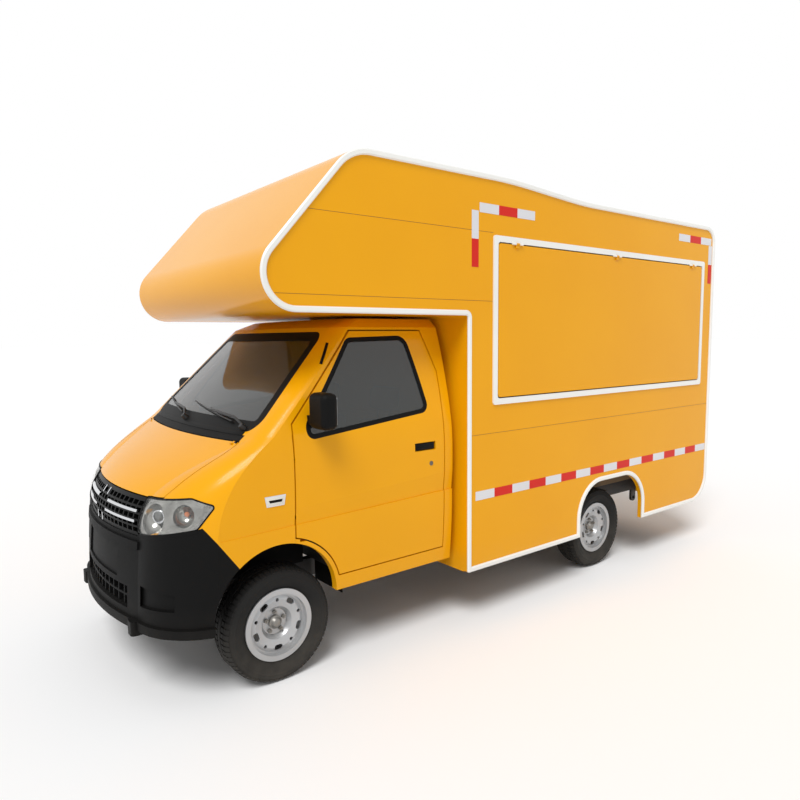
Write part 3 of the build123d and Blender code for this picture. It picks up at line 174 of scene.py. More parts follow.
def finish_of(name, tone, shade, gloss, spread=0.06, drift=2.0, dust=0.0, dust_top=0.5,
              grain=300.0, bump=0.02, metallic=0.0, coat=0.0, specular=0.5):
    material = bpy.data.materials.new(name)
    material.use_nodes = True
    tree = material.node_tree
    shader = tree.nodes["Principled BSDF"]
    shader.inputs["Metallic"].default_value = metallic
    shader.inputs["Coat Weight"].default_value = coat
    shader.inputs["Coat Roughness"].default_value = 0.06
    shader.inputs["Specular IOR Level"].default_value = specular
    tones = tree.nodes.new("ShaderNodeGroup")
    tones.node_tree = tone_drift
    values = {"Tone": tone, "Shade": shade, "Scale": drift, "Gloss": gloss, "Spread": spread,
              "Dust Top": dust_top, "Dust": dust}
    for label, value in values.items():
        tones.inputs[label].default_value = value
    grains = tree.nodes.new("ShaderNodeGroup")
    grains.node_tree = fine_grain
    grains.inputs["Scale"].default_value = grain
    relief = tree.nodes.new("ShaderNodeBump")
    relief.inputs["Strength"].default_value = bump
    relief.inputs["Distance"].default_value = 0.002
    connect(
        tree,
        (tones.outputs["Color"], shader.inputs["Base Color"]),
        (tones.outputs["Roughness"], shader.inputs["Roughness"]),
        (grains.outputs["Height"], relief.inputs["Height"]),
        (relief.outputs["Normal"], shader.inputs["Normal"]),
    )
    return material


def glass_finish(name, tone, gloss, alpha):
    """Thin tinted glass: a see-through sheet with a sharp highlight and faint smears in the gloss."""
    material = bpy.data.materials.new(name)
    material.use_nodes = True
    tree = material.node_tree
    shader = tree.nodes["Principled BSDF"]
    shader.inputs["Base Color"].default_value = tone
    shader.inputs["Specular IOR Level"].default_value = 0.8
    shader.inputs["Coat Weight"].default_value = 0.5
    shader.inputs["Coat Roughness"].default_value = 0.02
    shader.inputs["Alpha"].default_value = alpha
    smears = tree.nodes.new("ShaderNodeGroup")
    smears.node_tree = tone_drift
    smears.inputs["Gloss"].default_value = gloss
    smears.inputs["Spread"].default_value = 0.05
    smears.inputs["Scale"].default_value = 4.0
    connect(tree, (smears.outputs["Roughness"], shader.inputs["Roughness"]))
    return material


paint = finish_of("yellow_paint", linear(235, 166, 6), linear(228, 157, 5), 0.20, bump=0.002, grain=420,
                  coat=0.10, specular=0.16, dust=0.2, dust_top=0.5)
white_trim = finish_of("white_trim", linear(240, 240, 236), linear(226, 226, 221), 0.30, bump=0.01,
                       coat=0.3)
black_plastic = finish_of("bumper_plastic", linear(14, 14, 14), linear(10, 10, 10), 0.50, spread=0.12,
                          bump=0.2, grain=900, dust=0.10, dust_top=0.5, specular=0.10)
gloss_black = finish_of("gloss_black", linear(8, 8, 8), linear(6, 6, 6), 0.36, bump=0.01, specular=0.12)
seal_rubber = finish_of("seal_rubber", linear(10, 10, 10), linear(8, 8, 8), 0.5, bump=0.08, grain=700,
                        specular=0.12)
chrome = finish_of("chrome", linear(225, 226, 228), linear(205, 207, 210), 0.08, bump=0.0, metallic=1.0)
# The reflector's colour swings in patches from near-white down to dark grey. This is painted reflection: it
# stands for the bright and dark bands that a chrome bowl mirrors.
reflector = finish_of("reflector", linear(196, 195, 190), linear(84, 83, 80), 0.14, spread=0.10,
                      drift=14.0, bump=0.02, metallic=1.0)
wheel_paint = finish_of("wheel_silver", linear(190, 192, 194), linear(168, 170, 173), 0.32, bump=0.03,
                        metallic=0.55, dust=0.55, dust_top=0.5)
tyre_rubber = finish_of("tyre_rubber", linear(32, 31, 30), linear(23, 23, 22), 0.66, spread=0.14, bump=0.3,
                        grain=600, dust=0.22, dust_top=0.4, specular=0.2)
chassis_paint = finish_of("chassis_paint", linear(30, 30, 31), linear(22, 22, 23), 0.5, bump=0.15, dust=0.6)
cast_metal = finish_of("cast_metal", linear(70, 70, 72), linear(48, 48, 50), 0.6, bump=0.4, grain=160,
                       metallic=0.7, dust=0.6, dust_top=0.9)
dull_steel = finish_of("dull_steel", linear(120, 116, 110), linear(92, 84, 76), 0.42, bump=0.1,
                       metallic=0.9, dust=0.5)
cabin_plastic = finish_of("cabin_plastic", linear(74, 74, 76), linear(62, 62, 64), 0.6, bump=0.3, grain=700)
seat_cloth = finish_of("seat_cloth", linear(66, 66, 70), linear(48, 48, 52), 0.85, bump=0.6, grain=1100)
floor_sheet = finish_of("floor_sheet", linear(150, 128, 98), linear(120, 100, 74), 0.6, bump=0.2, grain=90)
lens = {"bump": 0.1, "grain": 160, "coat": 0.6}
red_lens = finish_of("red_lens", linear(190, 18, 16), linear(150, 10, 10), 0.12, **lens)
amber_lens = finish_of("amber_lens", linear(226, 120, 20), linear(196, 92, 10), 0.14, **lens)
pale_lens = finish_of("pale_lens", linear(226, 224, 214), linear(206, 203, 192), 0.10, **lens)
dark_glass = finish_of("dark_glass", linear(96, 98, 98), linear(70, 72, 72), 0.06, bump=0.0, coat=0.8)
tape_white = finish_of("tape_white", linear(222, 222, 224), linear(206, 206, 210), 0.34, bump=0.15,
                       grain=260)
tape_red = finish_of("tape_red", linear(216, 40, 26), linear(198, 30, 20), 0.34, bump=0.15, grain=260,
                     specular=0.2)
joint_sealant = finish_of("joint_sealant", linear(150, 98, 18), linear(128, 82, 16), 0.6, bump=0.05)
hub_metal = finish_of("hub_metal", linear(150, 148, 144), linear(112, 109, 104), 0.38, bump=0.08,
                      metallic=0.75, dust=0.5, dust_top=0.5)
wiper_black = finish_of("wiper_black", linear(22, 22, 23), linear(16, 16, 17), 0.42, bump=0.05)
mirror_finish = finish_of("mirror_glass", linear(232, 234, 236), linear(222, 224, 226), 0.03,
                          spread=0.02, bump=0.0, metallic=1.0)
clear_lens = glass_finish("clear_lens", linear(190, 192, 190), 0.03, 0.08)
# The windows are a dark grey that hides two thirds of what lies behind them. Part of that is a glass tint
# and part is painted shade of the cab's inside.
window_glass = glass_finish("window_glass", linear(36, 40, 39), 0.03, 0.66)
print("finishes:", len(bpy.data.materials))

# %% [markdown]
# The frame's solids come in with plain colours. Each one gets its real finish by name.
# A table from finish to nodes is easier to read and to change than fifty single lines.

# %% Dress the CAD solids
corners = ("front_left", "front_right", "rear_left", "rear_right")
dressing = {
    paint: ["cab_shell", "front_fenders", "bonnet", "door_left", "door_right", "box_side_left",
            "box_side_right", "box_roof", "box_nose", "overhang_floor", "box_front_wall", "box_rear_wall",
            "rear_door", "hatch_left", "hatch_right"],
    white_trim: ["edge_trims", "hatch_frames"],
    black_plastic: ["front_bumper", "cowl", "rear_bumper", "mirror_left", "mirror_right", "arch_liners"],
    seal_rubber: ["door_seal_left", "door_seal_right", "windscreen_seal"],
    chrome: ["grille_bars"],
    gloss_black: ["grille"],
    reflector: ["headlamps"],
    clear_lens: ["headlamp_lenses"],
    window_glass: ["windscreen", "door_glass_left", "door_glass_right"],
    cabin_plastic: ["dashboard", "steering_wheel"],
    seat_cloth: ["seats"],
    floor_sheet: ["box_floor"],
    red_lens: ["tail_lamps"],
    dull_steel: ["rear_door_hinges", "exhaust"],
    chassis_paint: ["frame_rails", "frame_crossmembers", "fuel_tank", "cab_floor"],
    cast_metal: ["engine_block", "front_arms", "rear_axle", "leaf_springs", "knuckle_left",
                 "knuckle_right"],
    wheel_paint: [f"rim_{corner}" for corner in corners],
    tyre_rubber: [f"tyre_{corner}" for corner in corners],
}
for finish, names in dressing.items():
    for name in names:
        nodes[name].data.materials.clear()
        nodes[name].data.materials.append(finish)
undressed = [name for name in nodes if not any(name in names for names in dressing.values())]
print("undressed nodes:", undressed)

# %% [markdown]
# The rest of the lesson models what CAD leaves out. Each piece starts from a primitive or a drawn line,
# is shaped in edit mode, and ends with its place in its mesh. These few helpers are the bench tools.
# Everything is deselected before each start, because an operator acts on all that is selected.


# %% Bench tools
WALL = 0.505
SMOOTH = radians(35)
MERGE = 1e-5


def start_clean():
    if bpy.context.object and bpy.context.object.mode != "OBJECT":
        bpy.ops.object.mode_set(mode="OBJECT")
    bpy.ops.object.select_all(action="DESELECT")


def edit_all():
    bpy.ops.object.mode_set(mode="EDIT")
    bpy.ops.mesh.select_mode(type="VERT")
    bpy.ops.mesh.select_all(action="SELECT")


def edit_some(piece, kind, wanted):
    """Open a piece for editing with only the wanted points or faces selected."""
    bpy.ops.object.mode_set(mode="EDIT")
    bpy.ops.mesh.select_mode(type=kind)
    bpy.ops.mesh.select_all(action="DESELECT")
    bpy.ops.object.mode_set(mode="OBJECT")
    for item in piece.data.polygons if kind == "FACE" else piece.data.vertices:
        item.select = wanted(item)
    bpy.ops.object.mode_set(mode="EDIT")


def pick(piece):
    start_clean()
    piece.select_set(True)
    bpy.context.view_layer.objects.active = piece


def settle(name):
    """Name the active piece, put its place, turn and size into its mesh, and smooth its soft edges."""
    bpy.ops.object.mode_set(mode="OBJECT")
    piece = bpy.context.object
    bpy.ops.object.transform_apply(location=True, rotation=True, scale=True)
    bpy.ops.object.shade_smooth_by_angle(angle=SMOOTH)
    piece.name = piece.data.name = name
    return piece


def block(name, low, high, edge, steps=2, lean=0.0):
    """A box between two corners, with its edges rounded off, leaning about its own middle."""
    start_clean()
    bpy.ops.mesh.primitive_cube_add(size=1, location=(Vector(low) + Vector(high)) / 2)
    bpy.context.object.scale = Vector(high) - Vector(low)
    bpy.ops.object.transform_apply(location=False, rotation=False, scale=True)
    edit_all()
    bpy.ops.mesh.bevel(offset=edge, segments=steps, affect="EDGES")
    bpy.context.object.rotation_euler.y = lean
    return settle(name)


def chain(points):
    """A line drawn point by point: one corner is pulled out again and again."""
    start_clean()
    bpy.ops.mesh.primitive_plane_add(size=0.01, location=points[0])
    edit_all()
    bpy.ops.mesh.merge(type="CENTER")
    for before, after in zip(points, points[1:]):
        step = Vector(after) - Vector(before)
        bpy.ops.mesh.extrude_vertices_move(TRANSFORM_OT_translate={"value": step})
    bpy.ops.mesh.select_all(action="SELECT")


def lathe(name, points, centre, axis, steps):
    """Turn a drawn line all the way round an axis, then close the seam."""
    chain(points)
    bpy.ops.mesh.spin(steps=steps, angle=2 * pi, center=centre, axis=axis)
    bpy.ops.mesh.select_all(action="SELECT")
    bpy.ops.mesh.remove_doubles(threshold=MERGE)
    bpy.ops.mesh.normals_make_consistent(inside=False)
    return settle(name)


def strip(name, points, rise, thick, edge):
    """A drawn line raised into a ribbon, given a thickness and soft edges."""
    chain(points)
    bpy.ops.mesh.extrude_region_move(TRANSFORM_OT_translate={"value": rise})
    piece = settle(name)
    wall = piece.modifiers.new("wall", "SOLIDIFY")
    wall.thickness = thick
    wall.offset = 0.0
    bpy.ops.object.modifier_apply(modifier="wall")
    soft = piece.modifiers.new("soft", "BEVEL")
    soft.width = edge
    soft.segments = 2
    bpy.ops.object.modifier_apply(modifier="soft")
    edit_all()
    bpy.ops.mesh.normals_make_consistent(inside=False)
    return settle(name)


def joined(name, pieces):
    start_clean()
    for piece in pieces:
        piece.select_set(True)
    bpy.context.view_layer.objects.active = pieces[0]
    if len(pieces) > 1:
        bpy.ops.object.join()
    return settle(name)


def copied(piece, name, shift):
    pick(piece)
    bpy.ops.object.duplicate()
    bpy.context.object.location = shift
    return settle(name)


def other_side(piece, name):
    """The same piece on the truck's right: a copy turned over about the middle plane."""
    pick(piece)
    bpy.ops.object.duplicate()
    bpy.context.object.scale.y = -1
    settle(name)
    edit_all()
    bpy.ops.mesh.normals_make_consistent(inside=False)
    return settle(name)


def fit(piece, finish, body):
    """Give a finished piece its finish and the body it rides on."""
    piece.data.materials.clear()
    piece.data.materials.append(finish)
    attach(piece, body)
    return piece


def touch(names, start, way):
    """First place where a straight line meets one of these CAD nodes, and the way the surface faces."""
    start = Vector(start)
    found = None
    for name in names:
        hit, place, facing, face = nodes[name].ray_cast(start, Vector(way))
        if hit and (found is None or (place - start).length < (found[0] - start).length):
            found = (place, facing)
    return found


print("bench tools ready; box front wall at x =", WALL)

# %% [markdown]
# Reflective tape runs along the box in white and red lengths: a long row low on each side and short
# corners high up. On the real truck it is a stuck film. A thin block with a hint of a rounded edge
# catches light as film does. One length is modelled and copied along each row, then the whites and
# the reds are joined into one piece each.

# %% Reflective tape
SIDE_FACE = 0.860
TAPE_HIGH = 0.054
TAPE_THICK = 0.0014
TAPE_EDGE = 0.0004
# columns: first x behind the wall, middle height, length of one piece, number of pieces
tape_rows = [(-0.068, 0.766, 0.1587, 17), (-0.094, 2.420, 0.158, 3), (-2.248, 2.440, 0.167, 3)]
# columns: middle x behind the wall, top, length of one piece, a white one with a red one below it
tape_posts = [(-0.060, 2.400, 0.1565), (-2.738, 2.410, 0.150)]


def tape_lengths():
    lengths = {"white": [], "red": []}
    for start, height, length, count in tape_rows:
        low = (WALL + start - length, SIDE_FACE, height - TAPE_HIGH / 2)
        high = (WALL + start, SIDE_FACE + TAPE_THICK, height + TAPE_HIGH / 2)
        first = block("tape", low, high, TAPE_EDGE, 1)
        pieces = [first] + [copied(first, "tape", (-length * step, 0, 0)) for step in range(1, count)]
        lengths["white"] += pieces[0::2]
        lengths["red"] += pieces[1::2]
    for middle, top, length in tape_posts:
        low = (WALL + middle - TAPE_HIGH / 2, SIDE_FACE, top - length)
        high = (WALL + middle + TAPE_HIGH / 2, SIDE_FACE + TAPE_THICK, top)
        first = block("tape", low, high, TAPE_EDGE, 1)
        lengths["white"].append(first)
        lengths["red"].append(copied(first, "tape", (0, 0, -length)))
    return lengths


for colour, pieces in tape_lengths().items():
    finish = tape_white if colour == "white" else tape_red
    near = joined(f"tape_{colour}_left", pieces)
    far = other_side(near, f"tape_{colour}_right")
    for piece in (near, far):
        fit(piece, finish, "chassis")
    print("tape", colour, len(near.data.polygons), "faces a side")

# %% [markdown]
# The box is skinned with wide sheets, and where two sheets meet there is a thin dark line along the side.
# It could be a groove cut in the panel, but at under three millimetres a dark bead of sealant reads
# the same and leaves the CAD panel alone.

# %% Sheet joints of the box
BEAD = 0.0024
BEAD_PROUD = 0.0006
# columns: front end and back end from the wall, height
bead_rows = [(-0.031, -2.769, 1.127), (1.200, -0.206, 1.900), (1.020, -0.206, 2.290)]
beads = []
for front, back, height in bead_rows:
    low = (WALL + back, SIDE_FACE - BEAD_PROUD, height - BEAD / 2)
    high = (WALL + front, SIDE_FACE + BEAD_PROUD, height + BEAD / 2)
    beads.append(block("bead", low, high, BEAD_PROUD / 2, 1))
bead_left = joined("sheet_joints_left", beads)
for piece in (bead_left, other_side(bead_left, "sheet_joints_right")):
    fit(piece, joint_sealant, "chassis")
print("sheet joints at heights", [row[2] for row in bead_rows])

# %% [markdown]
# A tyre is a round carcass with grooves and a belt of rubber blocks. The carcass is a drawn half section
# turned about the axle. The blocks are modelled once at the top of the wheel and spun round it as copies.
# Their shoulders are pulled down to follow the carcass. The finished tyre keeps the CAD tyre's outer form.

# %% Tyres with tread
AXLE_Z = 0.2875
WHEEL_Y = 0.650
FRONT_X = 1.655
REAR_X = -0.945
HUB = (FRONT_X, WHEEL_Y, AXLE_Z)
AXLE_WAY = (0, 1, 0)
PITCHES = 62
TREAD_RADIUS = 0.2873
BLOCK_DEEP = 0.0190
BLOCK_TOP = 0.0090
BLOCK_EDGE = 0.0009
# columns: distance from the middle of the tread, radius
tyre_half = [
    (0.0580, 0.1660), (0.0585, 0.1800), (0.0660, 0.1905), (0.0770, 0.2030), (0.0845, 0.2180),
    (0.0872, 0.2310), (0.0872, 0.2400), (0.0879, 0.2412), (0.0879, 0.2440), (0.0868, 0.2452),
    (0.0850, 0.2560), (0.0805, 0.2660), (0.0735, 0.2745), (0.0640, 0.2795), (0.0500, 0.2810),
    (0.0140, 0.2812), (0.0130, TREAD_RADIUS),
]
# columns: inner side, outer side, length along the tread, how far the outer top edge drops
tread_blocks = [(0.0190, 0.0450, 0.0225, 0.0008), (0.0505, 0.0806, 0.0235, 0.0120)]


def tread_block(inner, outer, length, drop):
    top = AXLE_Z + TREAD_RADIUS
    low = (FRONT_X - length / 2, WHEEL_Y + inner, top - BLOCK_DEEP)
    high = (FRONT_X + length / 2, WHEEL_Y + outer, top)
    piece = block("tread_block", low, high, BLOCK_EDGE, 1)
    middle = WHEEL_Y + (inner + outer) / 2
    edit_some(piece, "VERT", lambda point: point.co.y > middle and point.co.z > top - BLOCK_TOP)
    bpy.ops.transform.translate(value=(0, 0, -drop))
    return settle("tread_block")


def tread_belt():
    turn = 2 * pi * (PITCHES - 1) / PITCHES
    belt = []
    for row in tread_blocks:
        outer = tread_block(*row)
        pick(outer)
        bpy.ops.object.duplicate()
        bpy.context.object.scale.y = -1
        bpy.context.object.location.y = 2 * WHEEL_Y
        inner = settle("tread_block")
        edit_all()
        bpy.ops.mesh.normals_make_consistent(inside=False)
        settle("tread_block")
        belt += [outer, inner]
    whole = joined("tread_belt", belt)
    edit_all()
    bpy.ops.mesh.spin(steps=PITCHES - 1, angle=turn, center=HUB, axis=AXLE_WAY, dupli=True)
    return settle("tread_belt")


section = list(tyre_half)
section += [(-side, radius) for side, radius in reversed(tyre_half)]
section.append(tyre_half[0])
carcass = lathe(
    "tyre_carcass",
    [(FRONT_X, WHEEL_Y + side, AXLE_Z + radius) for side, radius in section],
    HUB, AXLE_WAY, 96,
)
tyre = joined("dressed_tyre_front_left", [carcass, tread_belt()])
corner_shifts = {
    "front_right": (0, -2 * WHEEL_Y, 0),
    "rear_left": (REAR_X - FRONT_X, 0, 0),
    "rear_right": (REAR_X - FRONT_X, -2 * WHEEL_Y, 0),
}
tyres = {"front_left": tyre}
for corner, shift in corner_shifts.items():
    tyres[corner] = copied(tyre, f"dressed_tyre_{corner}", shift)
for corner, piece in tyres.items():
    fit(piece, tyre_rubber, f"wheel_{corner}")
    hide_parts(f"tyre_{corner}")
print("tyre faces:", len(tyre.data.polygons))

# %% [markdown]
# In the dish of each steel wheel sit a pressed cap over the hub and five nuts on their studs.
# The cap is turned from a drawn line. One nut starts as a six-sided cylinder, has its edges eased and
# a stud pulled out of its face, and is then copied round the hub.

# %% Hub caps and wheel nuts
NUTS = 5
NUT_CIRCLE = 0.050
DISH_FACE = 0.014
NUT_UP = 0.006
NUT_RADIUS = 0.0115
NUT_DEEP = 0.016
NUT_EDGE = 0.0012
STUD_INSET = 0.0035
STUD_LENGTH = 0.007
# columns: distance outwards from the middle of the wheel, radius
cap_line = [(0.047, 0.0), (0.047, 0.015), (0.043, 0.021), (0.034, 0.025), (0.030, 0.030), (0.028, 0.034),
            (0.012, 0.034), (0.012, 0.0)]


def wheel_nuts():
    start_clean()
    place = (FRONT_X, WHEEL_Y + DISH_FACE + NUT_UP, AXLE_Z + NUT_CIRCLE)
    bpy.ops.mesh.primitive_cylinder_add(vertices=6, radius=NUT_RADIUS, depth=NUT_DEEP, location=place,
                                        rotation=(-pi / 2, 0, 0))
    bpy.ops.object.transform_apply(location=True, rotation=True, scale=True)
    edit_all()
    bpy.ops.mesh.bevel(offset=NUT_EDGE, segments=2, affect="EDGES")
    bpy.ops.object.mode_set(mode="OBJECT")
    edit_some(bpy.context.object, "FACE", lambda side: side.normal.y > 0.99)
    bpy.ops.mesh.inset(thickness=STUD_INSET)
    bpy.ops.mesh.extrude_region_move(TRANSFORM_OT_translate={"value": (0, STUD_LENGTH, 0)})
    bpy.ops.mesh.select_all(action="SELECT")
    turn = 2 * pi * (NUTS - 1) / NUTS
    bpy.ops.mesh.spin(steps=NUTS - 1, angle=turn, center=HUB, axis=AXLE_WAY, dupli=True)
    return settle("wheel_nuts")


cap = lathe("hub_cap", [(FRONT_X, WHEEL_Y + out, AXLE_Z + radius) for out, radius in cap_line],
            HUB, AXLE_WAY, 40)
hub_left = joined("hub_front_left", [cap, wheel_nuts()])
hubs = {"front_left": hub_left, "front_right": other_side(hub_left, "hub_front_right")}
back_shift = (REAR_X - FRONT_X, 0, 0)
hubs["rear_left"] = copied(hubs["front_left"], "hub_rear_left", back_shift)
hubs["rear_right"] = copied(hubs["front_right"], "hub_rear_right", back_shift)
for corner, piece in hubs.items():
    fit(piece, hub_metal, f"wheel_{corner}")
print("hub faces:", len(hub_left.data.polygons))

# %% [markdown]
# Behind each clear lamp cover there is a projector barrel in the large bowl and a small amber bulb in the
# outer one. Both are round, so each is a drawn line turned about the axis in which its bowl looks out.
# A black line frames the cover: a copy of the cover keeps only its narrow side walls, and those get a
# thickness. A dark sill then covers the strip of fender between the lamp and the bumper.

# %% Inside the headlamps
# columns: bottom of the bowl, direction in which it looks out
BARREL_FOOT = Vector((2.134, 0.499, 0.880))
BARREL_WAY = Vector((0.8, 0.6, 0.0))
BULB_FOOT = Vector((2.059, 0.638, 0.905))
BULB_WAY = Vector((0.6, 0.8, 0.0))
UP = Vector((0, 0, 1))
# columns: distance outwards, radius
barrel_line = [(-0.004, 0.0), (-0.004, 0.030), (0.010, 0.034), (0.022, 0.034), (0.025, 0.031),
               (0.024, 0.027), (0.018, 0.025), (0.018, 0.0)]
dome_line = [(0.017, 0.0), (0.017, 0.0245), (0.024, 0.021), (0.029, 0.012), (0.031, 0.0)]
bulb_line = [(-0.004, 0.0), (-0.004, 0.007), (0.005, 0.007), (0.010, 0.011), (0.016, 0.0125),
             (0.021, 0.009), (0.024, 0.0)]
lamp_parts = [
    ("lamp_barrel", barrel_line, BARREL_FOOT, BARREL_WAY, chrome, "lamp_chrome"),
    ("lamp_dome", dome_line, BARREL_FOOT, BARREL_WAY, dark_glass, "lamp_lens"),
    ("lamp_bulb", bulb_line, BULB_FOOT, BULB_WAY, amber_lens, "lamp_lens"),
]
for name, line, foot, way, finish, slot in lamp_parts:
    points = [foot + way * out + UP * radius for out, radius in line]
    near = lathe(f"{name}_left", points, foot, way, 32)
    for piece in (near, other_side(near, f"{name}_right")):
        fit(piece, finish, "chassis")
print("lamp insides:", [row[0] for row in lamp_parts])

# %% Black frame round each lamp cover
FRAME_LINE = 0.007
FRAME_PROUD = 0.0008


def lamp_way(place):
    """The direction in which the lamp on this side looks out."""
    return Vector((1, 1 if place.y > 0 else -1, 0)).normalized()


def lamp_frame():
    pick(nodes["headlamp_lenses"])
    bpy.ops.object.duplicate()
    piece = bpy.context.object
    piece.parent = None
    edit_all()
    bpy.ops.mesh.remove_doubles(threshold=MERGE)
    bpy.ops.object.mode_set(mode="OBJECT")
    edit_some(piece, "FACE", lambda side: abs(side.normal.dot(lamp_way(side.center))) > 0.3)
    bpy.ops.mesh.delete(type="FACE")
    piece = settle("lamp_frames")
    for point in piece.data.vertices:
        point.co += lamp_way(point.co) * FRAME_PROUD
    wall = piece.modifiers.new("wall", "SOLIDIFY")
    wall.thickness = FRAME_LINE
    wall.offset = 0.0
    bpy.ops.object.modifier_apply(modifier="wall")
    return piece


lamp_frames = fit(lamp_frame(), seal_rubber, "chassis")
print("lamp frame faces:", len(lamp_frames.data.polygons))

# %% Dark sill under each lamp
SILL_POINTS = 9
SILL_HIGH = 0.017
SILL_THICK = 0.003
SILL_EDGE = 0.0008
SILL_PROUD = 0.0006
LOOK_FROM = 0.6
sill_start = Vector((WALL + 1.520, 0.720, 0.850))
sill_end = Vector((WALL + 1.742, 0.442, 0.789))
sill_nodes = ["front_fenders", "front_bumper", "headlamp_lenses", "headlamps", "grille"]
sill_points = []
for step in range(SILL_POINTS):
    spot = sill_start.lerp(sill_end, step / (SILL_POINTS - 1))
    met = touch(sill_nodes, spot + lamp_way(spot) * LOOK_FROM, -lamp_way(spot))
    # A line that slips through the gap between two solids gives no point
    if met:
        sill_points.append(met[0] + met[1] * SILL_PROUD)
sill_left = strip("lamp_sill_left", sill_points, Vector((0, 0, -SILL_HIGH)), SILL_THICK, SILL_EDGE)
for piece in (sill_left, other_side(sill_left, "lamp_sill_right")):
    fit(piece, black_plastic, "chassis")
print("lamp sill runs along", round((sill_end - sill_start).length, 3), "m")

# %% [markdown]
# A rubber lip closes the gap between the cowl and the foot of the screen, and two wipers rest low on it.
# Each wiper has a bent arm from a round pivot and a thin rubber blade. The glass is curved, so the points
# of blade and lip are found by looking straight back at the cab and stepping outwards, which makes them
# follow the screen instead of cutting through it.

# %% Lip at the foot of the windscreen
AHEAD = 4.0
BACKWARDS = (-1, 0, 0)
LIP_HALF = 0.615
LIP_POINTS = 15
LIP_FOOT = 1.232
LIP_PROUD = 0.0004
LIP_UP = Vector((-0.70, 0, 0.71)) * 0.028
LIP_THICK = 0.004
LIP_EDGE = 0.001
lip_nodes = ["cab_shell", "windscreen_seal", "cowl", "front_fenders"]
lip_points = []
for step in range(LIP_POINTS):
    y = -LIP_HALF + 2 * LIP_HALF * step / (LIP_POINTS - 1)
    place, facing = touch(lip_nodes, (AHEAD, y, LIP_FOOT), BACKWARDS)
    lip_points.append(place + facing * LIP_PROUD)
cowl_lip = strip("cowl_lip", lip_points, LIP_UP, LIP_THICK, LIP_EDGE)
fit(cowl_lip, seal_rubber, "chassis")
print("cowl lip:", len(cowl_lip.data.polygons), "faces")

# %% Wipers
screen_nodes = ["windscreen", "windscreen_seal", "cowl"]
BLADE_POINTS = 9
BLADE_LIFT = 0.002
BLADE_HIGH = 0.016
BLADE_THICK = 0.007
BLADE_EDGE = 0.0012
ARM_LIFT = 0.020
ARM_KNEE = 0.012
ARM_WIDE = 0.013
ARM_THICK = 0.006
ARM_EDGE = 0.0015
PIVOT_SUNK = -0.004
# columns: distance outwards, radius
pivot_line = [(0.0, 0.0), (0.0, 0.017), (0.020, 0.015), (0.030, 0.012), (0.033, 0.0)]
# columns: pivot half width, blade start and end half width, heights of pivot, blade start and blade end
wiper_rows = [(0.585, 0.470, -0.100, 1.262, 1.278, 1.340), (-0.060, -0.140, -0.600, 1.262, 1.278, 1.330)]


def off_screen(y, z, out):
    place, facing = touch(screen_nodes, (AHEAD, y, z), BACKWARDS)
    return place + facing * out


def wiper(name, pivot_y, start_y, end_y, pivot_z, start_z, end_z):
    shares = [step / (BLADE_POINTS - 1) for step in range(BLADE_POINTS)]
    spots = [(start_y + (end_y - start_y) * share, start_z + (end_z - start_z) * share) for share in shares]
    facing = touch(screen_nodes, (AHEAD, *spots[BLADE_POINTS // 2]), BACKWARDS)[1]
    across = facing.cross((0, 1, 0)).normalized()
    blade_points = [off_screen(*spot, BLADE_LIFT) for spot in spots]
    blade = strip(f"{name}_blade", blade_points, facing * BLADE_HIGH, BLADE_THICK, BLADE_EDGE)
    arm_spots = [(pivot_y, pivot_z), (start_y, start_z + ARM_KNEE), spots[BLADE_POINTS // 2]]
    arm_points = [off_screen(*spot, ARM_LIFT) for spot in arm_spots]
    arm = strip(f"{name}_arm", arm_points, across * ARM_WIDE, ARM_THICK, ARM_EDGE)
    foot = off_screen(pivot_y, pivot_z, PIVOT_SUNK)
    pivot_points = [foot + facing * out + across * radius for out, radius in pivot_line]
    pivot = lathe(f"{name}_pivot", pivot_points, foot, facing, 24)
    return joined(name, [blade, arm, pivot])


for number, row in enumerate(wiper_rows, 1):
    fit(wiper(f"wiper_{number}", *row), wiper_black, "chassis")
print("wipers:", len(wiper_rows))

# %% [markdown]
# Each door has a black grip in its pocket and a round lock below it. On the fender ahead is a small side
# lamp, and the windscreen pillar carries a narrow black slot. They sit on curved sheet, so lock, lamp and
# slot look for the sheet first.

# %% Door grips and locks
LEFT_OF = 2.0
RIGHTWARDS = (0, -1, 0)
# columns: low and high corner, ahead of the wall, across and up
GRIP = ((0.186, 0.7740, 1.0700), (0.324, 0.7878, 1.1100))
GRIP_EDGE = 0.006
PULL_LOW = Vector((0.008, 0.0125, 0.006))
PULL_HIGH = Vector((-0.008, 0.0016, -0.020))
PULL_EDGE = 0.0012
# columns: distance ahead of the wall, height
LOCK = (0.213, 0.990)
grip_low, grip_high = [Vector((WALL + x, y, z)) for x, y, z in GRIP]
grip = block("door_grip_left", grip_low, grip_high, GRIP_EDGE, 3)
grip_pull = block("grip_pull", grip_low + PULL_LOW, grip_high + PULL_HIGH, PULL_EDGE, 2)
lock_foot = touch(["door_left"], (WALL + LOCK[0], LEFT_OF, LOCK[1]), RIGHTWARDS)[0]
# columns: distance outwards, radius
lock_line = [(-0.003, 0.0), (-0.003, 0.0135), (0.002, 0.0130), (0.003, 0.0110), (0.003, 0.0050),
             (0.001, 0.0040), (0.001, 0.0)]
lock = lathe("door_lock", [lock_foot + Vector((0, out, radius)) for out, radius in lock_line],
             lock_foot, (0, 1, 0), 24)
grip_left = joined("door_grip_left", [grip, grip_pull])
lock_left = joined("door_lock_left", [lock])
pairs = ((grip_left, gloss_black, "bumper_black"), (lock_left, dull_steel, "hinge_steel"))
for near, finish, slot in pairs:
    far = other_side(near, near.name.replace("left", "right"))
    fit(near, finish, "cab_door_left")
    fit(far, finish, "cab_door_right")
print("lock stands on the door at y =", round(lock_foot.y, 3))

# %% Side lamps on the fenders
LAMP_MIDDLE = (1.190, 0.933)
LAMP_SIZE = (0.104, 0.044)
LAMP_SUNK = 0.006
LAMP_TAPER = 0.84
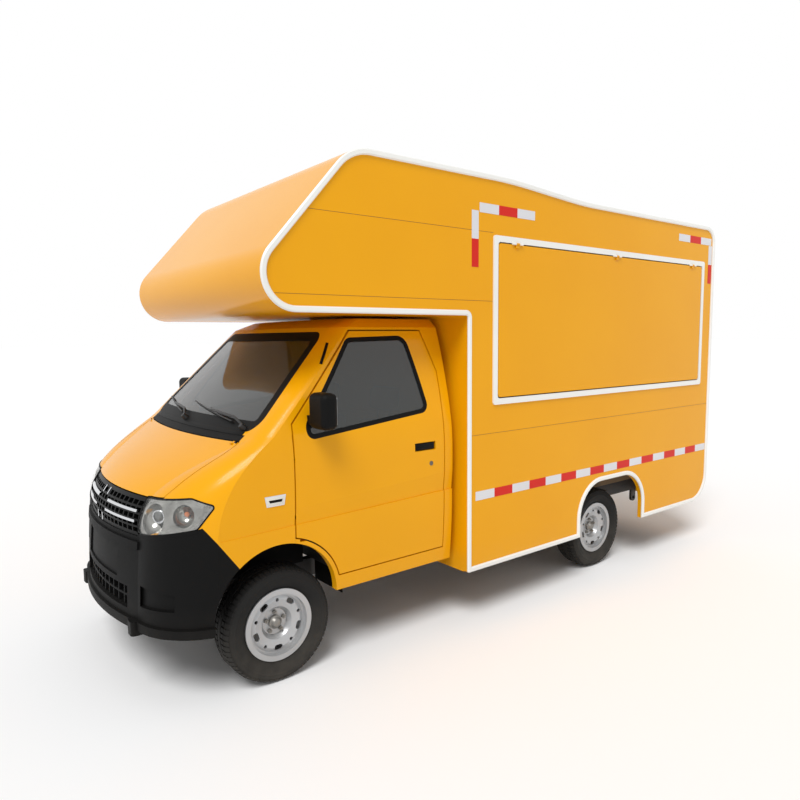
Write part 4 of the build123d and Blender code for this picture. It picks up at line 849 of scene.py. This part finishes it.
# columns: name, how much larger than the lamp, how proud, edge, finish, slot
side_lamp_rows = [
    ("side_lamp_case_left", 0.004, 0.003, 0.0015, chrome, "lamp_chrome"),
    ("side_lamp_lens_left", -0.003, 0.006, 0.0025, pale_lens, "lamp_lens"),
    ("side_lamp_bulb_left", -0.015, 0.0066, 0.0015, gloss_black, "lamp_lens"),
]


def side_lamp(name, grow, proud, edge):
    spot = (WALL + LAMP_MIDDLE[0], LEFT_OF, LAMP_MIDDLE[1])
    seat = touch(["front_fenders"], spot, RIGHTWARDS)[0]
    half = Vector((LAMP_SIZE[0] / 2 + grow, 0, LAMP_SIZE[1] / 2 + grow))
    low = seat - half - Vector((0, LAMP_SUNK, 0))
    piece = block(name, low, seat + half + Vector((0, proud, 0)), edge, 2)
    edit_some(piece, "VERT", lambda point: point.co.z < seat.z)
    bpy.ops.transform.resize(value=(LAMP_TAPER, 1, 1), center_override=seat)
    return settle(name)


for name, grow, proud, edge, finish, slot in side_lamp_rows:
    near = side_lamp(name, grow, proud, edge)
    for piece in (near, other_side(near, name.replace("left", "right"))):
        fit(piece, finish, "chassis")
print("side lamps:", LAMP_SIZE)

# %% Pillar slots
# columns: distance ahead of the wall, height
slot_spots = [(0.868, 1.566), (0.831, 1.619), (0.794, 1.672)]
SLOT_WIDE = 0.015
SLOT_PROUD = 0.0005
SLOT_THICK = 0.004
SLOT_EDGE = 0.0012
slot_hits = [touch(["cab_shell"], (WALL + x, LEFT_OF, z), RIGHTWARDS) for x, z in slot_spots]
slot_points = [place + facing * SLOT_PROUD for place, facing in slot_hits]
along = (slot_points[-1] - slot_points[0]).normalized()
across = along.cross(slot_hits[1][1]).normalized() * SLOT_WIDE
slot_edge = [point - across / 2 for point in slot_points]
slot_left = strip("pillar_slot_left", slot_edge, across, SLOT_THICK, SLOT_EDGE)
for piece in (slot_left, other_side(slot_left, "pillar_slot_right")):
    fit(piece, black_plastic, "chassis")
print("pillar slot on the cab at y =", [round(place.y, 3) for place in slot_points])

# %% [markdown]
# A mirror's housing is CAD. Its glass is a thin plate let into the face that looks back at the driver.

# %% Mirror glass
MIRROR_FACE = WALL + 0.923
glass_low = (MIRROR_FACE - 0.0012, 0.823, 1.285)
glass_high = (MIRROR_FACE + 0.003, 0.927, 1.415)
mirror_glass = block("mirror_glass_left", glass_low, glass_high, 0.001, 2)
mirror_far = other_side(mirror_glass, "mirror_glass_right")
fit(mirror_glass, mirror_finish, "cab_door_left")
fit(mirror_far, mirror_finish, "cab_door_right")
print("mirror glass faces back at x =", round(MIRROR_FACE, 3))

# %% [markdown]
# At the back, the door has a pull handle on two feet, and each lamp has a clear and an amber field beside
# the red. These are small blocks with soft edges, set on the CAD faces.

# %% Back door handle and lamp fields
BACK_FACE = -2.295
# columns: name, low corner, high corner, edge, steps in the edge; x is measured from the door's face
handle_rows = [
    ("handle_plate", (-0.004, -0.356, 1.340), (0.001, -0.312, 1.540), 0.0015, 2),
    ("handle_bar", (-0.032, -0.345, 1.372), (-0.018, -0.323, 1.508), 0.005, 3),
    ("handle_foot", (-0.024, -0.342, 1.380), (-0.002, -0.326, 1.400), 0.003, 2),
    ("handle_foot", (-0.024, -0.342, 1.480), (-0.002, -0.326, 1.500), 0.003, 2),
]
on_face = Vector((BACK_FACE, 0, 0))
handle = [
    block(name, on_face + Vector(low), on_face + Vector(high), edge, steps)
    for name, low, high, edge, steps in handle_rows
]
fit(joined("back_door_handle", handle), black_plastic, "back_door")
LAMP_FACE = -2.315
LAMP_Y = 0.752
FIELD_HALF = 0.036
FIELD_PROUD = 0.0016
FIELD_DEEP = 0.006
FIELD_EDGE = 0.0015
# columns: name, low side, high side, finish
field_rows = [("amber_field", 0.690, 0.752, amber_lens), ("clear_field", 0.528, 0.582, pale_lens)]
for name, low, high, finish in field_rows:
    first = (LAMP_FACE - FIELD_PROUD, LAMP_Y - FIELD_HALF, low)
    last = (LAMP_FACE + FIELD_DEEP, LAMP_Y + FIELD_HALF, high)
    near = block(f"{name}_left", first, last, FIELD_EDGE)
    for piece in (near, other_side(near, f"{name}_right")):
        fit(piece, finish, "chassis")
print("back door handle and lamp fields set")

# %% [markdown]
# The seats are foam under cloth, so they are not left as blocks. A cushion, a back and a head pad start
# as rounded boxes, are remeshed evenly, and are blown up a little as cloth with pressure, with a cap on
# how far a point may move. That gives the crown and the pulled-in corners of a real pad. One seat is
# made, and the other is a copy.

# %% Padded seats
SEAT_Y = 0.330
VOXEL = 0.015
FRAMES = 16
PRESSURE = 4.0
BACK_LEAN = -5.3
# columns: name, middle x from the wall, middle height, depth, width, height, edge, lean in degrees,
# most swell
pad_rows = [
    ("seat_cushion", 0.412, 0.712, 0.425, 0.450, 0.120, 0.035, 2.0, 0.016),
    ("seat_back", 0.226, 0.985, 0.098, 0.440, 0.440, 0.035, BACK_LEAN, 0.014),
    ("seat_head", 0.192, 1.325, 0.078, 0.250, 0.150, 0.030, BACK_LEAN, 0.010),
]


def puffed(piece, most):
    """Blow a closed form up a little, as cloth over foam, and keep every point within a set distance."""
    pick(piece)
    even = piece.modifiers.new("even", "REMESH")
    even.voxel_size = VOXEL
    bpy.ops.object.modifier_apply(modifier="even")
    start = [point.co.copy() for point in piece.data.vertices]
    cloth = piece.modifiers.new("cloth", "CLOTH")
    cloth.settings.use_pressure = True
    cloth.settings.uniform_pressure_force = PRESSURE
    cloth.settings.effector_weights.gravity = 0.0
    for step in range(1, FRAMES + 1):
        scene.frame_set(step)
    bpy.ops.object.modifier_apply(modifier="cloth")
    for point, home in zip(piece.data.vertices, start):
        move = point.co - home
        if move.length > most:
            point.co = home + move.normalized() * most
    scene.frame_set(1)
    finer = piece.modifiers.new("finer", "SUBSURF")
    finer.levels = finer.render_levels = 1
    bpy.ops.object.modifier_apply(modifier="finer")
    return settle(piece.name)


pads = []
for name, x, z, depth, width, height, edge, lean, most in pad_rows:
    half = Vector((depth, width, height)) / 2
    middle = Vector((WALL + x, SEAT_Y, z))
    pad = block(f"{name}_left", middle - half, middle + half, edge, 3, radians(lean))
    pad = puffed(pad, most)
    pads.append(pad)
    print(name, "has", len(pad.data.polygons), "faces")
pads += [copied(pad, pad.name.replace("left", "right"), (0, -2 * SEAT_Y, 0)) for pad in pads]
for pad in pads:
    fit(pad, seat_cloth, "chassis")
    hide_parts("seats")

# %% Seat frames
PLINTH_HALF = 0.220
PLINTH_EDGE = 0.012
POST_SIDE = 0.06
plinth_low = (WALL + 0.175, SEAT_Y - PLINTH_HALF, 0.481)
plinth_high = (WALL + 0.575, SEAT_Y + PLINTH_HALF, 0.646)
plinth = block("seat_plinth", plinth_low, plinth_high, PLINTH_EDGE)
lean_way = Vector((sin(radians(BACK_LEAN)), 0, cos(radians(BACK_LEAN))))
# columns: distance along the post, radius
post_line = [(0.0, 0.0), (0.0, 0.006), (0.090, 0.006), (0.090, 0.0)]
posts = []
for side in (-POST_SIDE, POST_SIDE):
    foot = Vector((WALL + 0.203, SEAT_Y + side, 1.180))
    points = [foot + lean_way * up + Vector((0, radius, 0)) for up, radius in post_line]
    posts.append(lathe("head_post", points, foot, lean_way, 16))
seat_frame_left = joined("seat_frame_left", [plinth, *posts])
for piece in (seat_frame_left, copied(seat_frame_left, "seat_frame_right", (0, -2 * SEAT_Y, 0))):
    fit(piece, cabin_plastic, "chassis")
    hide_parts("seats")
print("seat frames:", len(seat_frame_left.data.polygons), "faces each")

# %% [markdown]
# The photograph was taken by someone standing ahead and to the left of the truck, so the camera stands
# there too. A wide lens close by gives the strong perspective. The light is a large soft sky with one
# broad sun, and the floor and backdrop are plain and white.

# %% Camera
CAMERA_PLACE = Vector((3.095, 3.510, 1.691))
LOOK_YAW = radians(51.99)
LOOK_PITCH = radians(5.83)
LOOK_ROLL = radians(-0.57)
LENS = 29.23
SENSOR = 36.0
SHIFT = (0.0056, 0.0059)

forward = Vector((-cos(LOOK_YAW) * cos(LOOK_PITCH), -sin(LOOK_YAW) * cos(LOOK_PITCH), -sin(LOOK_PITCH)))
level = forward.cross(Vector((0, 0, 1))).normalized()
upright = level.cross(forward)
right = cos(LOOK_ROLL) * level + sin(LOOK_ROLL) * upright
up = -sin(LOOK_ROLL) * level + cos(LOOK_ROLL) * upright
bpy.ops.object.camera_add(location=CAMERA_PLACE)
camera = bpy.context.object
camera.name = "photo_camera"
camera.matrix_world = Matrix.Translation(CAMERA_PLACE) @ Matrix((right, up, -forward)).transposed().to_4x4()
camera.data.lens = LENS
camera.data.sensor_width = SENSOR
camera.data.shift_x, camera.data.shift_y = SHIFT
scene.camera = camera
print("camera at", tuple(round(part, 3) for part in camera.location))

# %% Floor, sky and sun
FLOOR_SIZE = 400.0
FLOOR_TONE = (0.93, 0.93, 0.93, 1)
SKY_LEVEL = 0.54
SUN_LEVEL = 2.15
SUN_SPREAD = radians(26)
SUN_FROM = Vector((0.47, 0.38, 0.80))

start_clean()
bpy.ops.mesh.primitive_plane_add(size=FLOOR_SIZE, location=(0, 0, 0))
floor = bpy.context.object
floor.name = "studio_floor"
floor.data.materials.append(bpy.data.materials.new("studio_floor"))
floor.data.materials[0].use_nodes = True
floor_shader = floor.data.materials[0].node_tree.nodes["Principled BSDF"]
floor_shader.inputs["Base Color"].default_value = FLOOR_TONE
floor_shader.inputs["Roughness"].default_value = 1.0
floor_shader.inputs["Specular IOR Level"].default_value = 0.0

world = bpy.data.worlds.new("studio_sky")
scene.world = world
world.use_nodes = True
sky = world.node_tree.nodes["Background"]
sky.inputs["Color"].default_value = (1, 1, 1, 1)
sky.inputs["Strength"].default_value = SKY_LEVEL
seen = world.node_tree.nodes.new("ShaderNodeBackground")
seen.inputs["Color"].default_value = (1, 1, 1, 1)
seen.inputs["Strength"].default_value = 1.0
rays = world.node_tree.nodes.new("ShaderNodeLightPath")
shiny = world.node_tree.nodes.new("ShaderNodeMath")
shiny.operation = "MAXIMUM"
plain = world.node_tree.nodes.new("ShaderNodeMath")
plain.operation = "MAXIMUM"
choose = world.node_tree.nodes.new("ShaderNodeMixShader")
connect(
    world.node_tree,
    (rays.outputs["Is Glossy Ray"], shiny.inputs[0]),
    (rays.outputs["Is Transmission Ray"], shiny.inputs[1]),
    (rays.outputs["Is Camera Ray"], plain.inputs[0]),
    (shiny.outputs["Value"], plain.inputs[1]),
    (plain.outputs["Value"], choose.inputs["Fac"]),
    (sky.outputs["Background"], choose.inputs[1]),
    (seen.outputs["Background"], choose.inputs[2]),
    (choose.outputs["Shader"], world.node_tree.nodes["World Output"].inputs["Surface"]),
)
bpy.ops.object.light_add(type="SUN", location=SUN_FROM * 10)
sun = bpy.context.object
sun.name = "soft_sun"
sun.data.energy = SUN_LEVEL
sun.data.angle = SUN_SPREAD
sun.rotation_euler = SUN_FROM.to_track_quat("Z", "Y").to_euler()
scene.view_settings.view_transform = "Standard"
